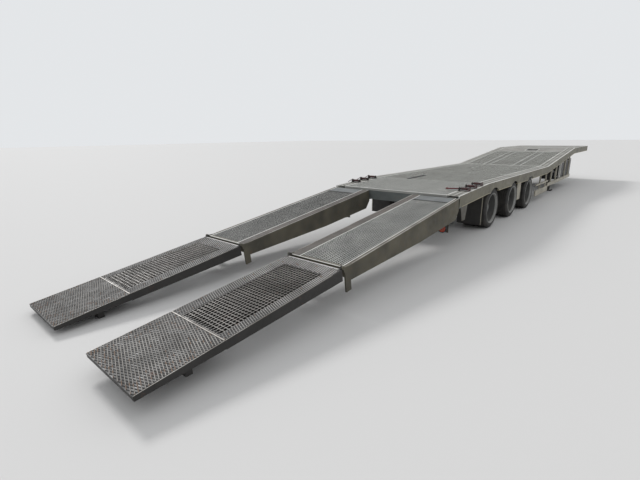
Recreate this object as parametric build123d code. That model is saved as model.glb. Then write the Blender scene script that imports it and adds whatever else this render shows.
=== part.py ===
from build123d import *
from math import asin, cos, degrees, radians, sin
import os

# Low loader semi-trailer with a stepped neck, a sloping tail and two folding loading ramps.
# Millimetres. X points forward, Y to the left, Z up from the ground.
# Distances along the trailer are measured from the rear edge of the deck, and every piece is
# moved at the end so that the middle of the whole length lies at X = 0.

# Wheels. Wheels and round bars are prisms of many sides, apart from the kingpin and the rods.
tyre_radius = 395
tyre_width = 235
tyre_shoulder = 24
tyre_wall = 45
tyre_sides = 20
twin_gap = 30
rim_radius = 285
rim_wall = 22
rim_inset = 4
rim_sides = 10
disc_half = 14
hub_radius = 130
hub_reach = 85
hub_cap_radius = 80
hub_cap_reach = 165
drum_radius = 205
spindle_radius = 40
bar_sides = 10
running_clearance = 0.08
seat_gap = 0.3

# Axles and suspension
first_axle_x = 1752
axle_pitch = 1360
axle_count = 3
axle_half = 68
axle_bar_end = 720
arm_width = 80
arm_nose_depth = 50
arm_nose_reach = 30
arm_rise = 15
arm_crown = 30
arm_crown_half = 90
arm_clamp_edge = 17
arm_clamp_depth = 20
arm_taper_ahead = 150
hanger_ahead = 480
hanger_top = 20
hanger_below_eye = 43
hanger_plate = 12
hanger_rear = 110
hanger_front = 90
hanger_front_taper = 30
hanger_rear_taper = 60
eye_drop = 97
spring_behind = 330
spring_radius = 125
spring_seat_drop = 90
spring_seat_behind = 88
spring_seat_ahead = 188
seat_plate = 25
brake_y = 290
brake_radius = 78
brake_length = 150
brake_behind = 120

# Deck line
overall_width = 2550
wheel_side_gap = 20
tyre_gap = 80
deck_thickness = 40
tail_length = 1376
main_length = 4948
slope_length = 3961
nose_length = 2915
tail_drop = 69
neck_rise = 392
neck_plate_x = 9180
hand_hole_x = 9500
hand_hole_length = 360
hand_hole_right = -230
hand_hole_left = 130

# Frame
beam_y = 500
beam_web = 12
beam_flange = 180
flange_thickness = 16
beam_depth = 350
beam_rear_depth = 151
beam_taper_depth = 310
beam_taper_x = 1300
beam_level_x = 1500
neck_web_lead = 124
neck_web_tail = 215
beam_end_gap = 60
neck_depth = 152
rear_beam_back_x = 10
rear_beam_front_x = 110
rear_beam_depth = 201
member_width = 60
member_depth = 100
outrigger_root_depth = 110
outrigger_tip_depth = 80
rail_depth = 180
rail_plate = 8
rail_lip = 40
arch_gap = 10
edge_strip = 232

# Openings of the gratings: counts along and across, and the bar between them
tail_opening_counts = (3, 3)
main_opening_counts = (7, 3)
neck_opening_counts = (5, 3)
grating_bar = 55
grating_edge = 20

# Coupling and legs
coupling_x = 12200
coupling_plate_length = 1000
coupling_plate_width = 900
coupling_plate_thickness = 10
kingpin_neck = 25.4
kingpin_collar = 35.75
kingpin_flange = 36.5
kingpin_head = 90
kingpin_flange_end = 19
kingpin_neck_end = 54
kingpin_end = 79
leg_x = 8300
leg_inset = 325
leg_outer = 150
leg_inner = 120
leg_shoe = 80
leg_outer_bottom = 480
leg_inner_bottom = 60
foot_length = 300
foot_width = 250
foot_thickness = 20
leg_gusset = 12
gearbox_depth = 130
crank_shaft_z = 620
crank_shaft_radius = 16

# Boxes, tanks and guards
box_x = 8700
box_length = 1700
box_width = 580
box_inset = 95
box_bottom = 330
box_height = 610
box_strap = 40
tank_x = 6450
tank_length = 900
tank_inset = 475
tank_z = 660
tank_radius = 123
tank_crown = 45
tank_strap = 40
guard_inset = 85
guard_thickness = 30
guard_post = 50
guard_rail_x = 6800
guard_rail_length = 3500
guard_rail_bottom = 300
guard_rail_depth = 100
board_x = 5400
board_length = 1400
board_bottom = 180
board_depth = 150
board_bar_bottom = 450
board_bar_depth = 40
cover_length = 300
cover_bottom = 300
cover_depth = 400
cover_thickness = 6
flap_ahead = 107
flap_thickness = 8
flap_width = 470
flap_bottom = 130
flap_bar = 40
lamp_inset = 251
lamp_z = 284
lamp_radius = 70
lamp_depth = 45
lamp_plate = 180
tail_bracket_x = 150
tail_bracket_length = 320
tail_bracket_depth = 270
tail_bracket_thickness = 10

# Ramps. Distances s run down the slope from the ramp's top edge, n stands off its surface.
ramp_gap = 50
ramp_step = 32
upper_length = 3046
lower_length = 1522
toe_length = 732
ramp_tip_z = 95
ramp_width = 822
upper_inner_strip = 145
upper_outer_strip = 53
fold_gap = 50
ramp_skin = 10
head_length = 300
head_beam_start = 60
head_beam_end = 160
head_beam_depth = 190
upper_web = 20
upper_rib = 10
upper_rib_depth = 100
upper_depths = ((0, 200), (120, 320), (1300, 290))
upper_end_depth = 170
upper_end_beam = 50
upper_opening_counts = (5, 2)
cross_bar_width = 60
cross_bar_bottom = 110
skid_length = 90
skid_depth = 290
lower_inner_strip = 162
lower_outer_strip = 115
lower_web = 15
lower_rib = 10
lower_start_depth = 130
lower_end_depth = 80
lower_head = 200
lower_head_beam = 50
lower_head_beam_depth = 100
lower_end_beam = 40
lower_opening_counts = (4, 2)
ramp_grating_bar = 45
ramp_grating_depth = 40
toe_web = 17
toe_skin = 8
toe_start_depth = 75
toe_end_depth = 40
toe_bar_count = 4
toe_bar = 20
toe_bar_depth = 38
toe_foot_start = 212
toe_foot_length = 60
toe_foot_width = 100
toe_foot_inset = 70
toe_foot_end_z = 1
right_ramp_raised = 0.95

# Hinges: distances of lugs and pins are from the ramp's side faces
hinge_back = 5
hinge_drop = 19
hinge_radius = 26
hinge_pin_radius = 14
hinge_inset = 101
hinge_barrel = 63
hinge_lug = 25
hinge_side_gap = 6
hinge_room = 6
hinge_arm_root = 19
hinge_arm_drop = 12
hinge_arm_depth = 88
fold_pin_radius = 9
fold_pin_rise = 12
fold_lug_radius = 20
fold_lug_length = 130
fold_lug_depth = 90
fold_lug_drop = 2
upper_lug = (0, 12)
lower_lug = (19, 34)
fold_pin = (0, 37)

# Lift cylinders
cylinder_inset = 417
lever_radius = 330
lever_angle = -42
lever_thickness = 20
lever_lip = 2
lever_root = 160
lever_root_drop = 30
lever_neck = 60
lever_neck_drop = 24
lever_crank_depth = 130
lever_back = 180
lever_back_depth = 170
lever_spacing = 84
lift_travel = 96
rod_radius = 25
rod_inner_end = 970
rod_eye_width = 32
eye_radius = 40
barrel_radius = 48
barrel_start = 290
barrel_cap = 50
barrel_eye_width = 40
barrel_eye_radius = 35
bracket_spacing = 60
bracket_plate = 16

# Heights and places that follow
axle_xs = [first_axle_x + i * axle_pitch for i in range(axle_count)]
half_width = overall_width / 2
outer_tyre_y = half_width - wheel_side_gap - tyre_width / 2
inner_tyre_y = outer_tyre_y - tyre_width - twin_gap
hub_y = (outer_tyre_y + inner_tyre_y) / 2
rail_inner_y = half_width - rail_plate
deck_half = rail_inner_y - edge_strip
deck_z = 2 * tyre_radius + tyre_gap + deck_thickness
tail_edge_z = deck_z - tail_drop
neck_z = deck_z + neck_rise
coupling_z = neck_z - neck_depth
beam_bottom_z = deck_z - beam_depth
rear_beam_bottom_z = tail_edge_z - rear_beam_depth
slope_start_x = tail_length + main_length
crest_x = slope_start_x + slope_length
front_x = crest_x + nose_length
deck_points = (
    (0, tail_edge_z),
    (tail_length, deck_z),
    (slope_start_x, deck_z),
    (crest_x, neck_z),
    (front_x, neck_z),
)
beam_bottom_points = (
    (rear_beam_front_x, tail_edge_z - beam_rear_depth),
    (beam_taper_x, deck_z - beam_taper_depth),
    (beam_level_x, beam_bottom_z),
    (slope_start_x - neck_web_lead, beam_bottom_z),
    (crest_x + neck_web_tail, coupling_z + coupling_plate_thickness),
    (front_x - beam_end_gap, coupling_z + coupling_plate_thickness),
)

# Members stand every half axle pitch, and at the legs instead of near them
member_pitch = axle_pitch / 2
rear_member_x = first_axle_x - member_pitch
tail_member_x = rear_member_x - member_pitch
member_count = int((front_x - beam_end_gap - tail_member_x) / member_pitch) + 1
member_xs = [tail_member_x + i * member_pitch for i in range(member_count)]
member_xs = [x for x in member_xs if abs(x - leg_x) > member_pitch / 2] + [leg_x]
outrigger_xs = [x for x in member_xs if x not in axle_xs]

fold_s = upper_length
toe_s = fold_s + lower_length
ramp_length = toe_s + toe_length
upper_end = fold_s - fold_gap / 2
lower_start = fold_s + fold_gap / 2
ramp_top_x = -ramp_gap
ramp_top_z = tail_edge_z - ramp_step
ramp_slope = degrees(asin((ramp_top_z - ramp_tip_z) / ramp_length))
ramp_tip_x = ramp_top_x - ramp_length * cos(radians(ramp_slope))
ramp_outer_y = half_width
ramp_inner_y = ramp_outer_y - ramp_width
upper_mesh_inner = ramp_inner_y + upper_inner_strip
upper_mesh_outer = ramp_outer_y - upper_outer_strip
lower_mesh_inner = ramp_inner_y + lower_inner_strip
lower_mesh_outer = ramp_outer_y - lower_outer_strip
hinge_ys = (ramp_inner_y + hinge_inset, ramp_outer_y - hinge_inset)
cylinder_y = ramp_inner_y + cylinder_inset
leg_y = half_width - leg_inset
box_outer_y = half_width - box_inset
box_inner_y = box_outer_y - box_width
tank_y = half_width - tank_inset
guard_y = half_width - guard_inset
lamp_y = half_width - lamp_inset
hinge_x = ramp_top_x + hinge_back
hinge_z = ramp_top_z - hinge_drop
eye_x = hinge_x + lever_radius * cos(radians(lever_angle))
eye_z = hinge_z + lever_radius * sin(radians(lever_angle))
raised_turn = radians(right_ramp_raised)
raised_tip_x = (hinge_x + (ramp_tip_x - hinge_x) * cos(raised_turn)
                + (ramp_tip_z - hinge_z) * sin(raised_turn))
middle_x = (raised_tip_x + front_x) / 2


def height_on(points, x):
    """Height at x on a line of (x, z) points."""
    for (x0, z0), (x1, z1) in zip(points, points[1:]):
        if x <= x1:
            return z0 + (z1 - z0) * (x - x0) / (x1 - x0)
    return points[-1][1]


def deck_top(x):
    """Height of the deck's surface at a distance from its rear edge."""
    return height_on(deck_points, x)


def deck_line(x0, x1, drop):
    """Points of the deck line between two places, lowered by a drop."""
    inside = [x for x, z in deck_points if x0 < x < x1]
    return [(x, deck_top(x) - drop) for x in [x0, *inside, x1]]


def beam_bottom(x):
    """Height of the beams' underside."""
    return height_on(beam_bottom_points, x)


def member_top(x):
    """Height of the top of a member that stands at x under the deck."""
    return min(deck_top(x - member_width / 2), deck_top(x + member_width / 2)) - deck_thickness


def member_floor(x):
    """Lowest that a member's root may reach, on the beams' lower flange."""
    lowest = max(beam_bottom(x - member_width / 2), beam_bottom(x + member_width / 2))
    return lowest + flange_thickness


def outrigger_bottom(x, y):
    """Height of the underside of the outrigger at x, at a distance y from the middle."""
    root = max(member_top(x) - outrigger_root_depth, member_floor(x))
    tip = member_top(x) - outrigger_tip_depth
    root_y = beam_y + beam_web / 2
    return root + (tip - root) * (y - root_y) / (rail_inner_y - root_y)


def block(x0, x1, y0, y1, z0, z1):
    return Pos((x0 + x1) / 2, (y0 + y1) / 2, (z0 + z1) / 2) * Box(x1 - x0, y1 - y0, z1 - z0)


def side_plate(points, y0, y1):
    """Plate with an outline of (x, z) points, from one Y to another."""
    face = Plane.XZ * make_face(Polyline(*points, close=True))
    return Pos(0, y0, 0) * extrude(face, amount=y1 - y0, dir=(0, 1, 0))


def cross_plate(points, x0, x1):
    """Plate with an outline of (y, z) points, from one X to another."""
    face = Plane.YZ * make_face(Polyline(*points, close=True))
    return Pos(x0, 0, 0) * extrude(face, amount=x1 - x0, dir=(1, 0, 0))


def deck_band(x0, x1, y0, y1, top_drop, bottom_drop):
    """Slab that follows the deck line."""
    top = deck_line(x0, x1, top_drop)
    bottom = deck_line(x0, x1, bottom_drop)
    return side_plate(top + bottom[::-1], y0, y1)


def round_x(y, z, radius, x0, x1):
    """Round bar along X."""
    return Pos((x0 + x1) / 2, y, z) * Rot(0, 90, 0) * Cylinder(radius, x1 - x0)


def many_sided(origin, x_dir, z_dir, radius, length, sides, to_flats, turn=0):
    """Prism of many sides with a flat below. Its radius is to the corners, or else to the flats."""
    plane = Plane(origin=origin, x_dir=x_dir, z_dir=z_dir)
    polygon = RegularPolygon(radius, sides, major_radius=not to_flats, rotation=90 + 180 / sides + turn)
    return extrude(plane * polygon, amount=length, dir=z_dir)


def prism_x(y, z, radius, x0, x1, sides=bar_sides, to_flats=False):
    return many_sided((x0, y, z), (0, 1, 0), (1, 0, 0), radius, x1 - x0, sides, to_flats)


def prism_y(x, z, radius, y0, y1, sides=bar_sides, to_flats=False, turn=0):
    return many_sided((x, y0, z), (1, 0, 0), (0, 1, 0), radius, y1 - y0, sides, to_flats, turn)


def prism_z(x, y, radius, z0, z1, sides=bar_sides, to_flats=False):
    return many_sided((x, y, z0), (1, 0, 0), (0, 0, 1), radius, z1 - z0, sides, to_flats)


def both_sides(solids):
    """The solids of the left side with their mirror images."""
    return [*solids, *[mirror(solid, about=Plane.XZ) for solid in solids]]


def chamfer_ends(body, axis, inward, along):
    """Chamfers both ends of a prism, so far inward and so far along."""
    for index in (0, -1):
        end = body.faces().sort_by(axis)[index]
        body = chamfer(end.edges(), inward, along, reference=end)
    return body


def frame_beams():
    """Two welded I-beams that follow the deck line above and the axles below."""
    bottom = list(beam_bottom_points)
    end = front_x - beam_end_gap
    top = deck_line(rear_beam_front_x, end, deck_thickness)
    web = side_plate(top + bottom[::-1], beam_y - beam_web / 2, beam_y + beam_web / 2)
    inner = beam_y - beam_flange / 2
    outer = beam_y + beam_flange / 2
    top_flange = deck_band(rear_beam_front_x, end, inner, outer, deck_thickness,
                           deck_thickness + flange_thickness)
    lifted = [(x, z + flange_thickness) for x, z in bottom]
    bottom_flange = side_plate(lifted + bottom[::-1], inner, outer)
    return both_sides([web + top_flange + bottom_flange])


def cross_members():
    """Members between the beams' webs and tapered outriggers outside them."""
    web_face = beam_web / 2
    inner = beam_y - web_face
    outer = beam_y + web_face
    outer_edge = beam_y + beam_flange / 2
    solids = []
    for x in member_xs:
        top = member_top(x) - flange_thickness
        foot = max(member_top(x) - member_depth, member_floor(x))
        solids.append(block(x - member_width / 2, x + member_width / 2, -inner, inner, foot, top))
    for x in outrigger_xs:
        top = member_top(x)
        outline = [(outer, top - flange_thickness), (outer_edge, top - flange_thickness), (outer_edge, top),
                   (rail_inner_y, top), (rail_inner_y, outrigger_bottom(x, rail_inner_y)),
                   (outer, outrigger_bottom(x, outer))]
        solids.extend(both_sides([cross_plate(outline, x - member_width / 2, x + member_width / 2)]))
    return solids


def side_rails():
    """Outer fascia with wheel arches and a lower lip."""
    rail = deck_band(0, front_x, rail_inner_y, half_width, 0, rail_depth)
    lip = deck_band(rear_beam_front_x, front_x, half_width - rail_lip, half_width,
                    rail_depth - rail_plate, rail_depth)
    rail = rail + lip
    for x in axle_xs:
        rail = rail - prism_y(x, tyre_radius, tyre_radius + arch_gap, half_width - 2 * rail_lip,
                              half_width + rail_plate, tyre_sides, to_flats=True)
    return both_sides([rail])


def edge_rails():
    """Lashing strips along both edges of the deck."""
    return both_sides([deck_band(0, front_x, deck_half, rail_inner_y, 0, deck_thickness)])


def grating_bar_places(start, end, count):
    """Places of the bars between a ramp grating's openings, where the cross bars carry them."""
    pitch = (end - start - 2 * ramp_skin) / count
    return [start + ramp_skin + i * pitch for i in range(1, count)]


def slotted_panel(panel, x0, x1, y0, y1, counts, bar):
    """Panel with a grid of rectangular openings."""
    columns, rows = counts
    pitch_x = (x1 - x0) / columns
    pitch_y = (y1 - y0) / rows
    holes = []
    for i in range(columns):
        for j in range(rows):
            a = x0 + i * pitch_x + bar / 2
            b = y0 + j * pitch_y + bar / 2
            holes.append(block(a, a + pitch_x - bar, b, b + pitch_y - bar, -deck_z, 2 * neck_z))
    return panel - holes


def deck_grating(x0, x1, counts):
    panel = deck_band(x0, x1, -deck_half, deck_half, 0, deck_thickness)
    return [slotted_panel(panel, x0 + grating_edge, x1 - grating_edge, -deck_half + grating_edge,
                          deck_half - grating_edge, counts, grating_bar)]


def neck_plate():
    """Plain plate of the neck with its hand hole."""
    plate = deck_band(neck_plate_x, front_x, -deck_half, deck_half, 0, deck_thickness)
    hole = block(hand_hole_x, hand_hole_x + hand_hole_length, hand_hole_right, hand_hole_left, deck_z,
                 2 * neck_z)
    return [plate - hole]


def hinge_lug_spans():
    """Y spans of the rear beam's lugs, two at each hinge."""
    near = hinge_barrel / 2 + hinge_side_gap
    far = near + hinge_lug
    return [span for y in hinge_ys for span in ((y - far, y - near), (y + near, y + far))]


def rear_beam():
    """Cross beam with the lugs and pins that carry the ramps."""
    top = tail_edge_z - deck_thickness
    root = rear_beam_back_x + hinge_room
    beam = block(rear_beam_back_x, rear_beam_front_x, -rail_inner_y, rail_inner_y, rear_beam_bottom_z, top)
    nose = hinge_radius * cos(radians(45))
    outline = [(hinge_x, hinge_z + hinge_radius), (hinge_x + hinge_radius, top), (root, top),
               (root, hinge_z - 4 * hinge_radius), (hinge_x, hinge_z - hinge_radius),
               (hinge_x - nose, hinge_z - nose), (hinge_x - hinge_radius, hinge_z),
               (hinge_x - nose, hinge_z + nose)]
    for a, b in hinge_lug_spans():
        beam = beam + both_sides([side_plate(outline, a, b)])
    reach = hinge_barrel / 2 + hinge_side_gap + hinge_lug
    for y in hinge_ys:
        beam = beam + both_sides([prism_y(hinge_x, hinge_z, hinge_pin_radius, y - reach, y + reach)])
    return [beam]


def coupling_plate():
    """Rubbing plate with the hole that the kingpin passes through."""
    half = coupling_plate_length / 2
    top = coupling_z + coupling_plate_thickness
    plate = block(coupling_x - half, coupling_x + half, -coupling_plate_width / 2, coupling_plate_width / 2,
                  coupling_z, top)
    hole = prism_z(coupling_x, 0, kingpin_flange + seat_gap, coupling_z - flange_thickness,
                   coupling_z + flange_thickness, to_flats=True)
    return [plate - hole]


def kingpin():
    """Two inch kingpin with a head that sits on top of the plate."""
    seat = coupling_plate_thickness
    profile = [(0, -kingpin_flange_end), (kingpin_neck, -kingpin_flange_end), (kingpin_neck, -kingpin_neck_end),
               (kingpin_collar, -kingpin_neck_end), (kingpin_collar, -kingpin_end), (0, -kingpin_end)]
    face = Plane.XZ * make_face(Polyline(*profile, close=True))
    pin = revolve(face, axis=Axis.Z)
    pin = pin + prism_z(0, 0, kingpin_flange, -kingpin_flange_end, seat)
    pin = pin + block(-kingpin_head, kingpin_head, -kingpin_head, kingpin_head, seat, seat + flange_thickness)
    return [Pos(coupling_x, 0, coupling_z) * pin]


def post(x, y, size, z0, z1):
    """Square post about a place."""
    return block(x - size / 2, x + size / 2, y - size / 2, y + size / 2, z0, z1)


def landing_legs():
    """Outer legs with inner legs, feet and gearboxes, joined by the cross shaft."""
    top = outrigger_bottom(leg_x, leg_y - leg_outer / 2)
    inner_face = leg_y - leg_outer / 2
    flange_edge = beam_y + beam_flange / 2
    leg = post(leg_x, leg_y, leg_outer, leg_outer_bottom, top)
    leg = leg + post(leg_x, leg_y, leg_inner, leg_inner_bottom, leg_outer_bottom)
    leg = leg + post(leg_x, leg_y, leg_shoe, foot_thickness, leg_inner_bottom)
    leg = leg + block(leg_x - foot_length / 2, leg_x + foot_length / 2, leg_y - foot_width / 2,
                      leg_y + foot_width / 2, 0, foot_thickness)
    gusset = [(flange_edge, outrigger_bottom(leg_x, flange_edge)), (inner_face, top),
              (inner_face, crank_shaft_z + gearbox_depth), (flange_edge, top - gearbox_depth / 2)]
    leg = leg + cross_plate(gusset, leg_x - leg_gusset / 2, leg_x + leg_gusset / 2)
    leg = leg + block(leg_x - leg_outer / 4, leg_x + leg_outer / 4, inner_face - leg_outer / 3, inner_face,
                      crank_shaft_z - gearbox_depth / 2, crank_shaft_z + gearbox_depth / 2)
    shaft = prism_y(leg_x, crank_shaft_z, crank_shaft_radius, -inner_face, inner_face)
    return [leg + mirror(leg, about=Plane.XZ) + shaft]


def axles():
    """Square axle beams with round spindles, and brake chambers on brackets behind them."""
    spindle_end = hub_y + 3 * hub_reach / 4
    solids = []
    for x in axle_xs:
        z = tyre_radius
        axle = block(x - axle_half, x + axle_half, -axle_bar_end, axle_bar_end, z - axle_half, z + axle_half)
        for side in (-1, 1):
            low, high = sorted((side * axle_bar_end, side * spindle_end))
            axle = axle + prism_y(x, z, spindle_radius, low, high, turn=180 / bar_sides)
            y = side * brake_y
            back = x - brake_behind
            axle = axle + block(back, x - axle_half, y - brake_radius / 2, y + brake_radius / 2, z - axle_half, z)
            axle = axle + prism_x(y, z - axle_half / 2, brake_radius, back - brake_length, back)
        solids.append(axle)
    return solids


def trailing_arms():
    """Arms from the hangers over the axles to the air springs."""
    eye = beam_bottom_z - eye_drop
    seat = tyre_radius + axle_half
    behind = spring_behind + spring_seat_behind
    ahead = spring_behind - spring_seat_ahead
    under = seat - spring_seat_drop
    solids = []
    for x in axle_xs:
        front = x + hanger_ahead
        nose = front + arm_nose_reach
        clamp = axle_half + arm_clamp_edge
        outline = [(nose, eye + arm_rise + arm_nose_depth / 2), (x + arm_crown_half, seat + arm_crown),
                   (x - arm_crown_half, seat + arm_clamp_depth), (x - ahead, under), (x - behind, under),
                   (x - behind, under - seat_plate), (x - ahead + seat_plate, under - seat_plate),
                   (x - clamp, seat - arm_clamp_depth), (x - clamp, seat), (x + clamp, seat),
                   (x + arm_taper_ahead, seat - arm_clamp_depth), (nose, eye + arm_rise - arm_nose_depth / 2)]
        solids.extend(both_sides([side_plate(outline, beam_y - arm_width / 2, beam_y + arm_width / 2)]))
    return solids


def hangers():
    """Brackets under the beams that hold the arms' front eyes."""
    inner = beam_y - arm_width / 2 - seat_gap
    outer = beam_y + arm_width / 2 + seat_gap
    low = beam_bottom_z - eye_drop - hanger_below_eye
    solids = []
    for x in axle_xs:
        centre = x + hanger_ahead
        outline = [(centre - hanger_rear, beam_bottom_z), (centre + hanger_front, beam_bottom_z),
                   (centre + hanger_front - hanger_front_taper, low),
                   (centre - hanger_rear + hanger_rear_taper, low)]
        sides = side_plate(outline, inner - hanger_plate, inner) + side_plate(outline, outer, outer + hanger_plate)
        top = block(centre - hanger_rear, centre + hanger_front, inner - hanger_plate, outer + hanger_plate,
                    beam_bottom_z - hanger_top, beam_bottom_z)
        solids.extend(both_sides([sides + top]))
    return solids


def air_springs():
    """Bellows between the arms' ends and the beams."""
    low = tyre_radius + axle_half - spring_seat_drop
    solids = []
    for x in axle_xs:
        solids.extend(both_sides([prism_z(x - spring_behind, beam_y, spring_radius, low, beam_bottom_z)]))
    return solids


def storage_boxes():
    """Boxes under the neck, hung on straps from the outriggers."""
    top = box_bottom + box_height
    box = block(box_x, box_x + box_length, box_inner_y, box_outer_y, box_bottom, top)
    for x in [place for place in outrigger_xs if box_x < place < box_x + box_length]:
        inner = box_inner_y + box_strap
        box = box + block(x - box_strap / 2, x + box_strap / 2, inner, box_outer_y - box_strap / 2, top,
                          outrigger_bottom(x, inner))
    return both_sides([box])


def air_tanks():
    """Tanks with crowned ends, hung on straps from the outriggers."""
    tank = prism_x(tank_y, tank_z, tank_radius, tank_x, tank_x + tank_length, bar_sides)
    tank = chamfer_ends(tank, Axis.X, tank_crown, tank_crown)
    for x in [place for place in outrigger_xs if tank_x < place < tank_x + tank_length]:
        tank = tank + block(x - tank_strap / 2, x + tank_strap / 2, tank_y - tank_strap / 2,
                            tank_y + tank_strap / 2, tank_z, outrigger_bottom(x, tank_y - tank_strap / 2))
    return both_sides([tank])


def guard_posts(panel, x0, x1, bottom):
    """Panel with a post up to each outrigger that it passes."""
    places = [x for x in outrigger_xs if x0 + guard_post < x < x1 - guard_post and x != leg_x]
    for x in places:
        panel = panel + block(x - guard_post / 2, x + guard_post / 2, guard_y, guard_y + guard_thickness, bottom,
                              outrigger_bottom(x, guard_y))
    return panel


def side_guards():
    """Rails along the sides under the neck."""
    end = guard_rail_x + guard_rail_length
    rail = block(guard_rail_x, end, guard_y, guard_y + guard_thickness, guard_rail_bottom,
                 guard_rail_bottom + guard_rail_depth)
    return both_sides([guard_posts(rail, guard_rail_x, end, guard_rail_bottom)])


def guard_boards():
    """Low boards with a bar above, ahead of the wheels, and cover plates between the last wheels."""
    end = board_x + board_length
    board = block(board_x, end, guard_y, guard_y + guard_thickness, board_bottom, board_bottom + board_depth)
    board = board + block(board_x, end, guard_y, guard_y + guard_thickness, board_bar_bottom,
                          board_bar_bottom + board_bar_depth)
    board = guard_posts(board, board_x, end, board_bottom)
    x = axle_xs[-1] - member_pitch
    cover = block(x - cover_length / 2, x + cover_length / 2, guard_y, guard_y + cover_thickness, cover_bottom,
                  cover_bottom + cover_depth)
    cover = cover + block(x - member_width / 2, x + member_width / 2, guard_y, guard_y + cover_thickness,
                          cover_bottom, outrigger_bottom(x, guard_y))
    return both_sides([board, cover])


def mud_flaps():
    """Flaps behind the last wheels, on bars from the side rails."""
    x = first_axle_x - tyre_radius - flap_ahead
    outer = half_width - rail_lip - hinge_room
    low = deck_top(x) - rail_depth + rail_plate + hinge_room
    flap = block(x, x + flap_thickness, outer - flap_width, outer, flap_bottom, low)
    bar = block(x - flap_bar / 2, x + flap_bar / 2, outer - flap_width, rail_inner_y, low, low + flap_bar)
    return both_sides([flap + bar])


def rear_lamps():
    """Round lamps on plates below the rear beam, and the tapered brackets at the rear corners."""
    back = rear_beam_back_x
    plate = block(back, back + rail_plate, lamp_y - lamp_plate / 2, lamp_y + lamp_plate / 2,
                  lamp_z - lamp_radius, rear_beam_bottom_z)
    plate = plate + block(back + rail_plate, rear_beam_front_x, lamp_y - lamp_plate / 2, lamp_y + lamp_plate / 2,
                          rear_beam_bottom_z - rail_plate, rear_beam_bottom_z)
    lamp = plate + prism_x(lamp_y, lamp_z, lamp_radius, back - lamp_depth, back)
    x0 = tail_bracket_x
    x1 = x0 + tail_bracket_length
    y = half_width - rail_lip
    drop = rail_depth - rail_plate
    low = tail_edge_z - rail_depth - tail_bracket_depth
    outline = [(x0, deck_top(x0) - drop), (x1, deck_top(x1) - drop), (x1 - tail_bracket_length / 4, low),
               (x0 + tail_bracket_length / 3, low)]
    return both_sides([lamp, side_plate(outline, y - tail_bracket_thickness, y)])


def tyre(y):
    """Tyre with sloping shoulders, bored for the rim."""
    half = tyre_width / 2
    body = prism_y(0, 0, tyre_radius, y - half, y + half, tyre_sides, to_flats=True)
    body = chamfer_ends(body, Axis.Y, tyre_wall, tyre_shoulder)
    return body - prism_y(0, 0, rim_radius, y - half, y + half, tyre_sides, to_flats=True)


def tyre_pair():
    return [tyre(inner_tyre_y), tyre(outer_tyre_y)]


def rim_pair():
    """Two deep rims back to back, with hub, cap and brake drum, bored for the spindle."""
    reach = (outer_tyre_y - inner_tyre_y + tyre_width) / 2 - rim_inset
    back = hub_y - axle_bar_end - wheel_side_gap
    dish = rim_radius - rim_wall
    body = prism_y(0, 0, rim_radius - seat_gap, hub_y - reach, hub_y + reach, tyre_sides, to_flats=True)
    body = body - prism_y(0, 0, dish, hub_y + disc_half, hub_y + reach, rim_sides)
    body = body - prism_y(0, 0, dish, hub_y - reach, hub_y - disc_half, rim_sides)
    body = body + prism_y(0, 0, hub_radius, hub_y + disc_half, hub_y + hub_reach)
    body = body + prism_y(0, 0, drum_radius, hub_y - back, hub_y - disc_half)
    body = body + prism_y(0, 0, hub_cap_radius, hub_y + hub_reach, hub_y + hub_cap_reach)
    bore = prism_y(0, 0, spindle_radius + running_clearance, hub_y - back, hub_y + hub_reach, to_flats=True)
    return [body - bore]


def ramp_block(s0, s1, y0, y1, n0, n1):
    """Block in the ramp's own lay: s runs down the slope, n stands off its surface."""
    return block(-s1, -s0, y0, y1, n0, n1)


def ramp_plate(points, y0, y1):
    return side_plate([(-s, n) for s, n in points], y0, y1)


def on_slope(solid):
    return Pos(ramp_top_x, 0, ramp_top_z) * Rot(0, -ramp_slope, 0) * solid


def at_ramp_sides(near, far):
    """Y spans at both side faces of a ramp, from a near to a far distance inside them."""
    return ((ramp_inner_y + near, ramp_inner_y + far), (ramp_outer_y - far, ramp_outer_y - near))


def fold_lug(y0, y1, direction):
    """Ear that carries the fold pin. The direction is -1 on the upper section and 1 on the lower."""
    near = fold_s + direction * fold_lug_radius
    foot = fold_s + direction * fold_lug_length
    outline = [(near, fold_pin_rise), (foot, -fold_lug_drop), (foot, -fold_lug_depth),
               (near, -2 * fold_lug_depth / 3), (fold_s, fold_pin_rise - fold_lug_radius)]
    return ramp_plate(outline, y0, y1) + prism_y(-fold_s, fold_pin_rise, fold_lug_radius, y0, y1)


def hinge_barrels():
    """Barrels that turn on the rear beam's pins, each on an arm of the head beam."""
    pieces = []
    for y in hinge_ys:
        y0 = y - hinge_barrel / 2
        y1 = y + hinge_barrel / 2
        root = hinge_x - head_beam_end + ramp_skin
        arm = [(hinge_x - hinge_back, hinge_z + hinge_arm_root), (root, hinge_z - hinge_arm_drop),
               (root, hinge_z - hinge_arm_drop - hinge_arm_depth), (hinge_x, hinge_z - hinge_arm_root)]
        pieces.append(side_plate(arm, y0, y1) + prism_y(hinge_x, hinge_z, hinge_radius, y0, y1))
    return pieces


def lift_lever(y0, y1):
    """Cranked plate from the head beam to the rod's eye."""
    r = eye_radius + lever_lip
    tip = eye_x - hinge_x
    drop = eye_z - hinge_z
    points = [(-lever_root, -lever_root_drop), (-lever_neck, -lever_neck_drop), (hinge_back, -lever_crank_depth),
              (lever_neck, drop + r), (tip + r / 2, drop + r), (tip + r, drop + r / 2), (tip + r, drop - r / 2),
              (tip + r / 2, drop - r), (-lever_neck, drop - r), (-lever_back, -lever_back_depth)]
    return side_plate([(hinge_x + x, hinge_z + z) for x, z in points], y0, y1)


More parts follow.
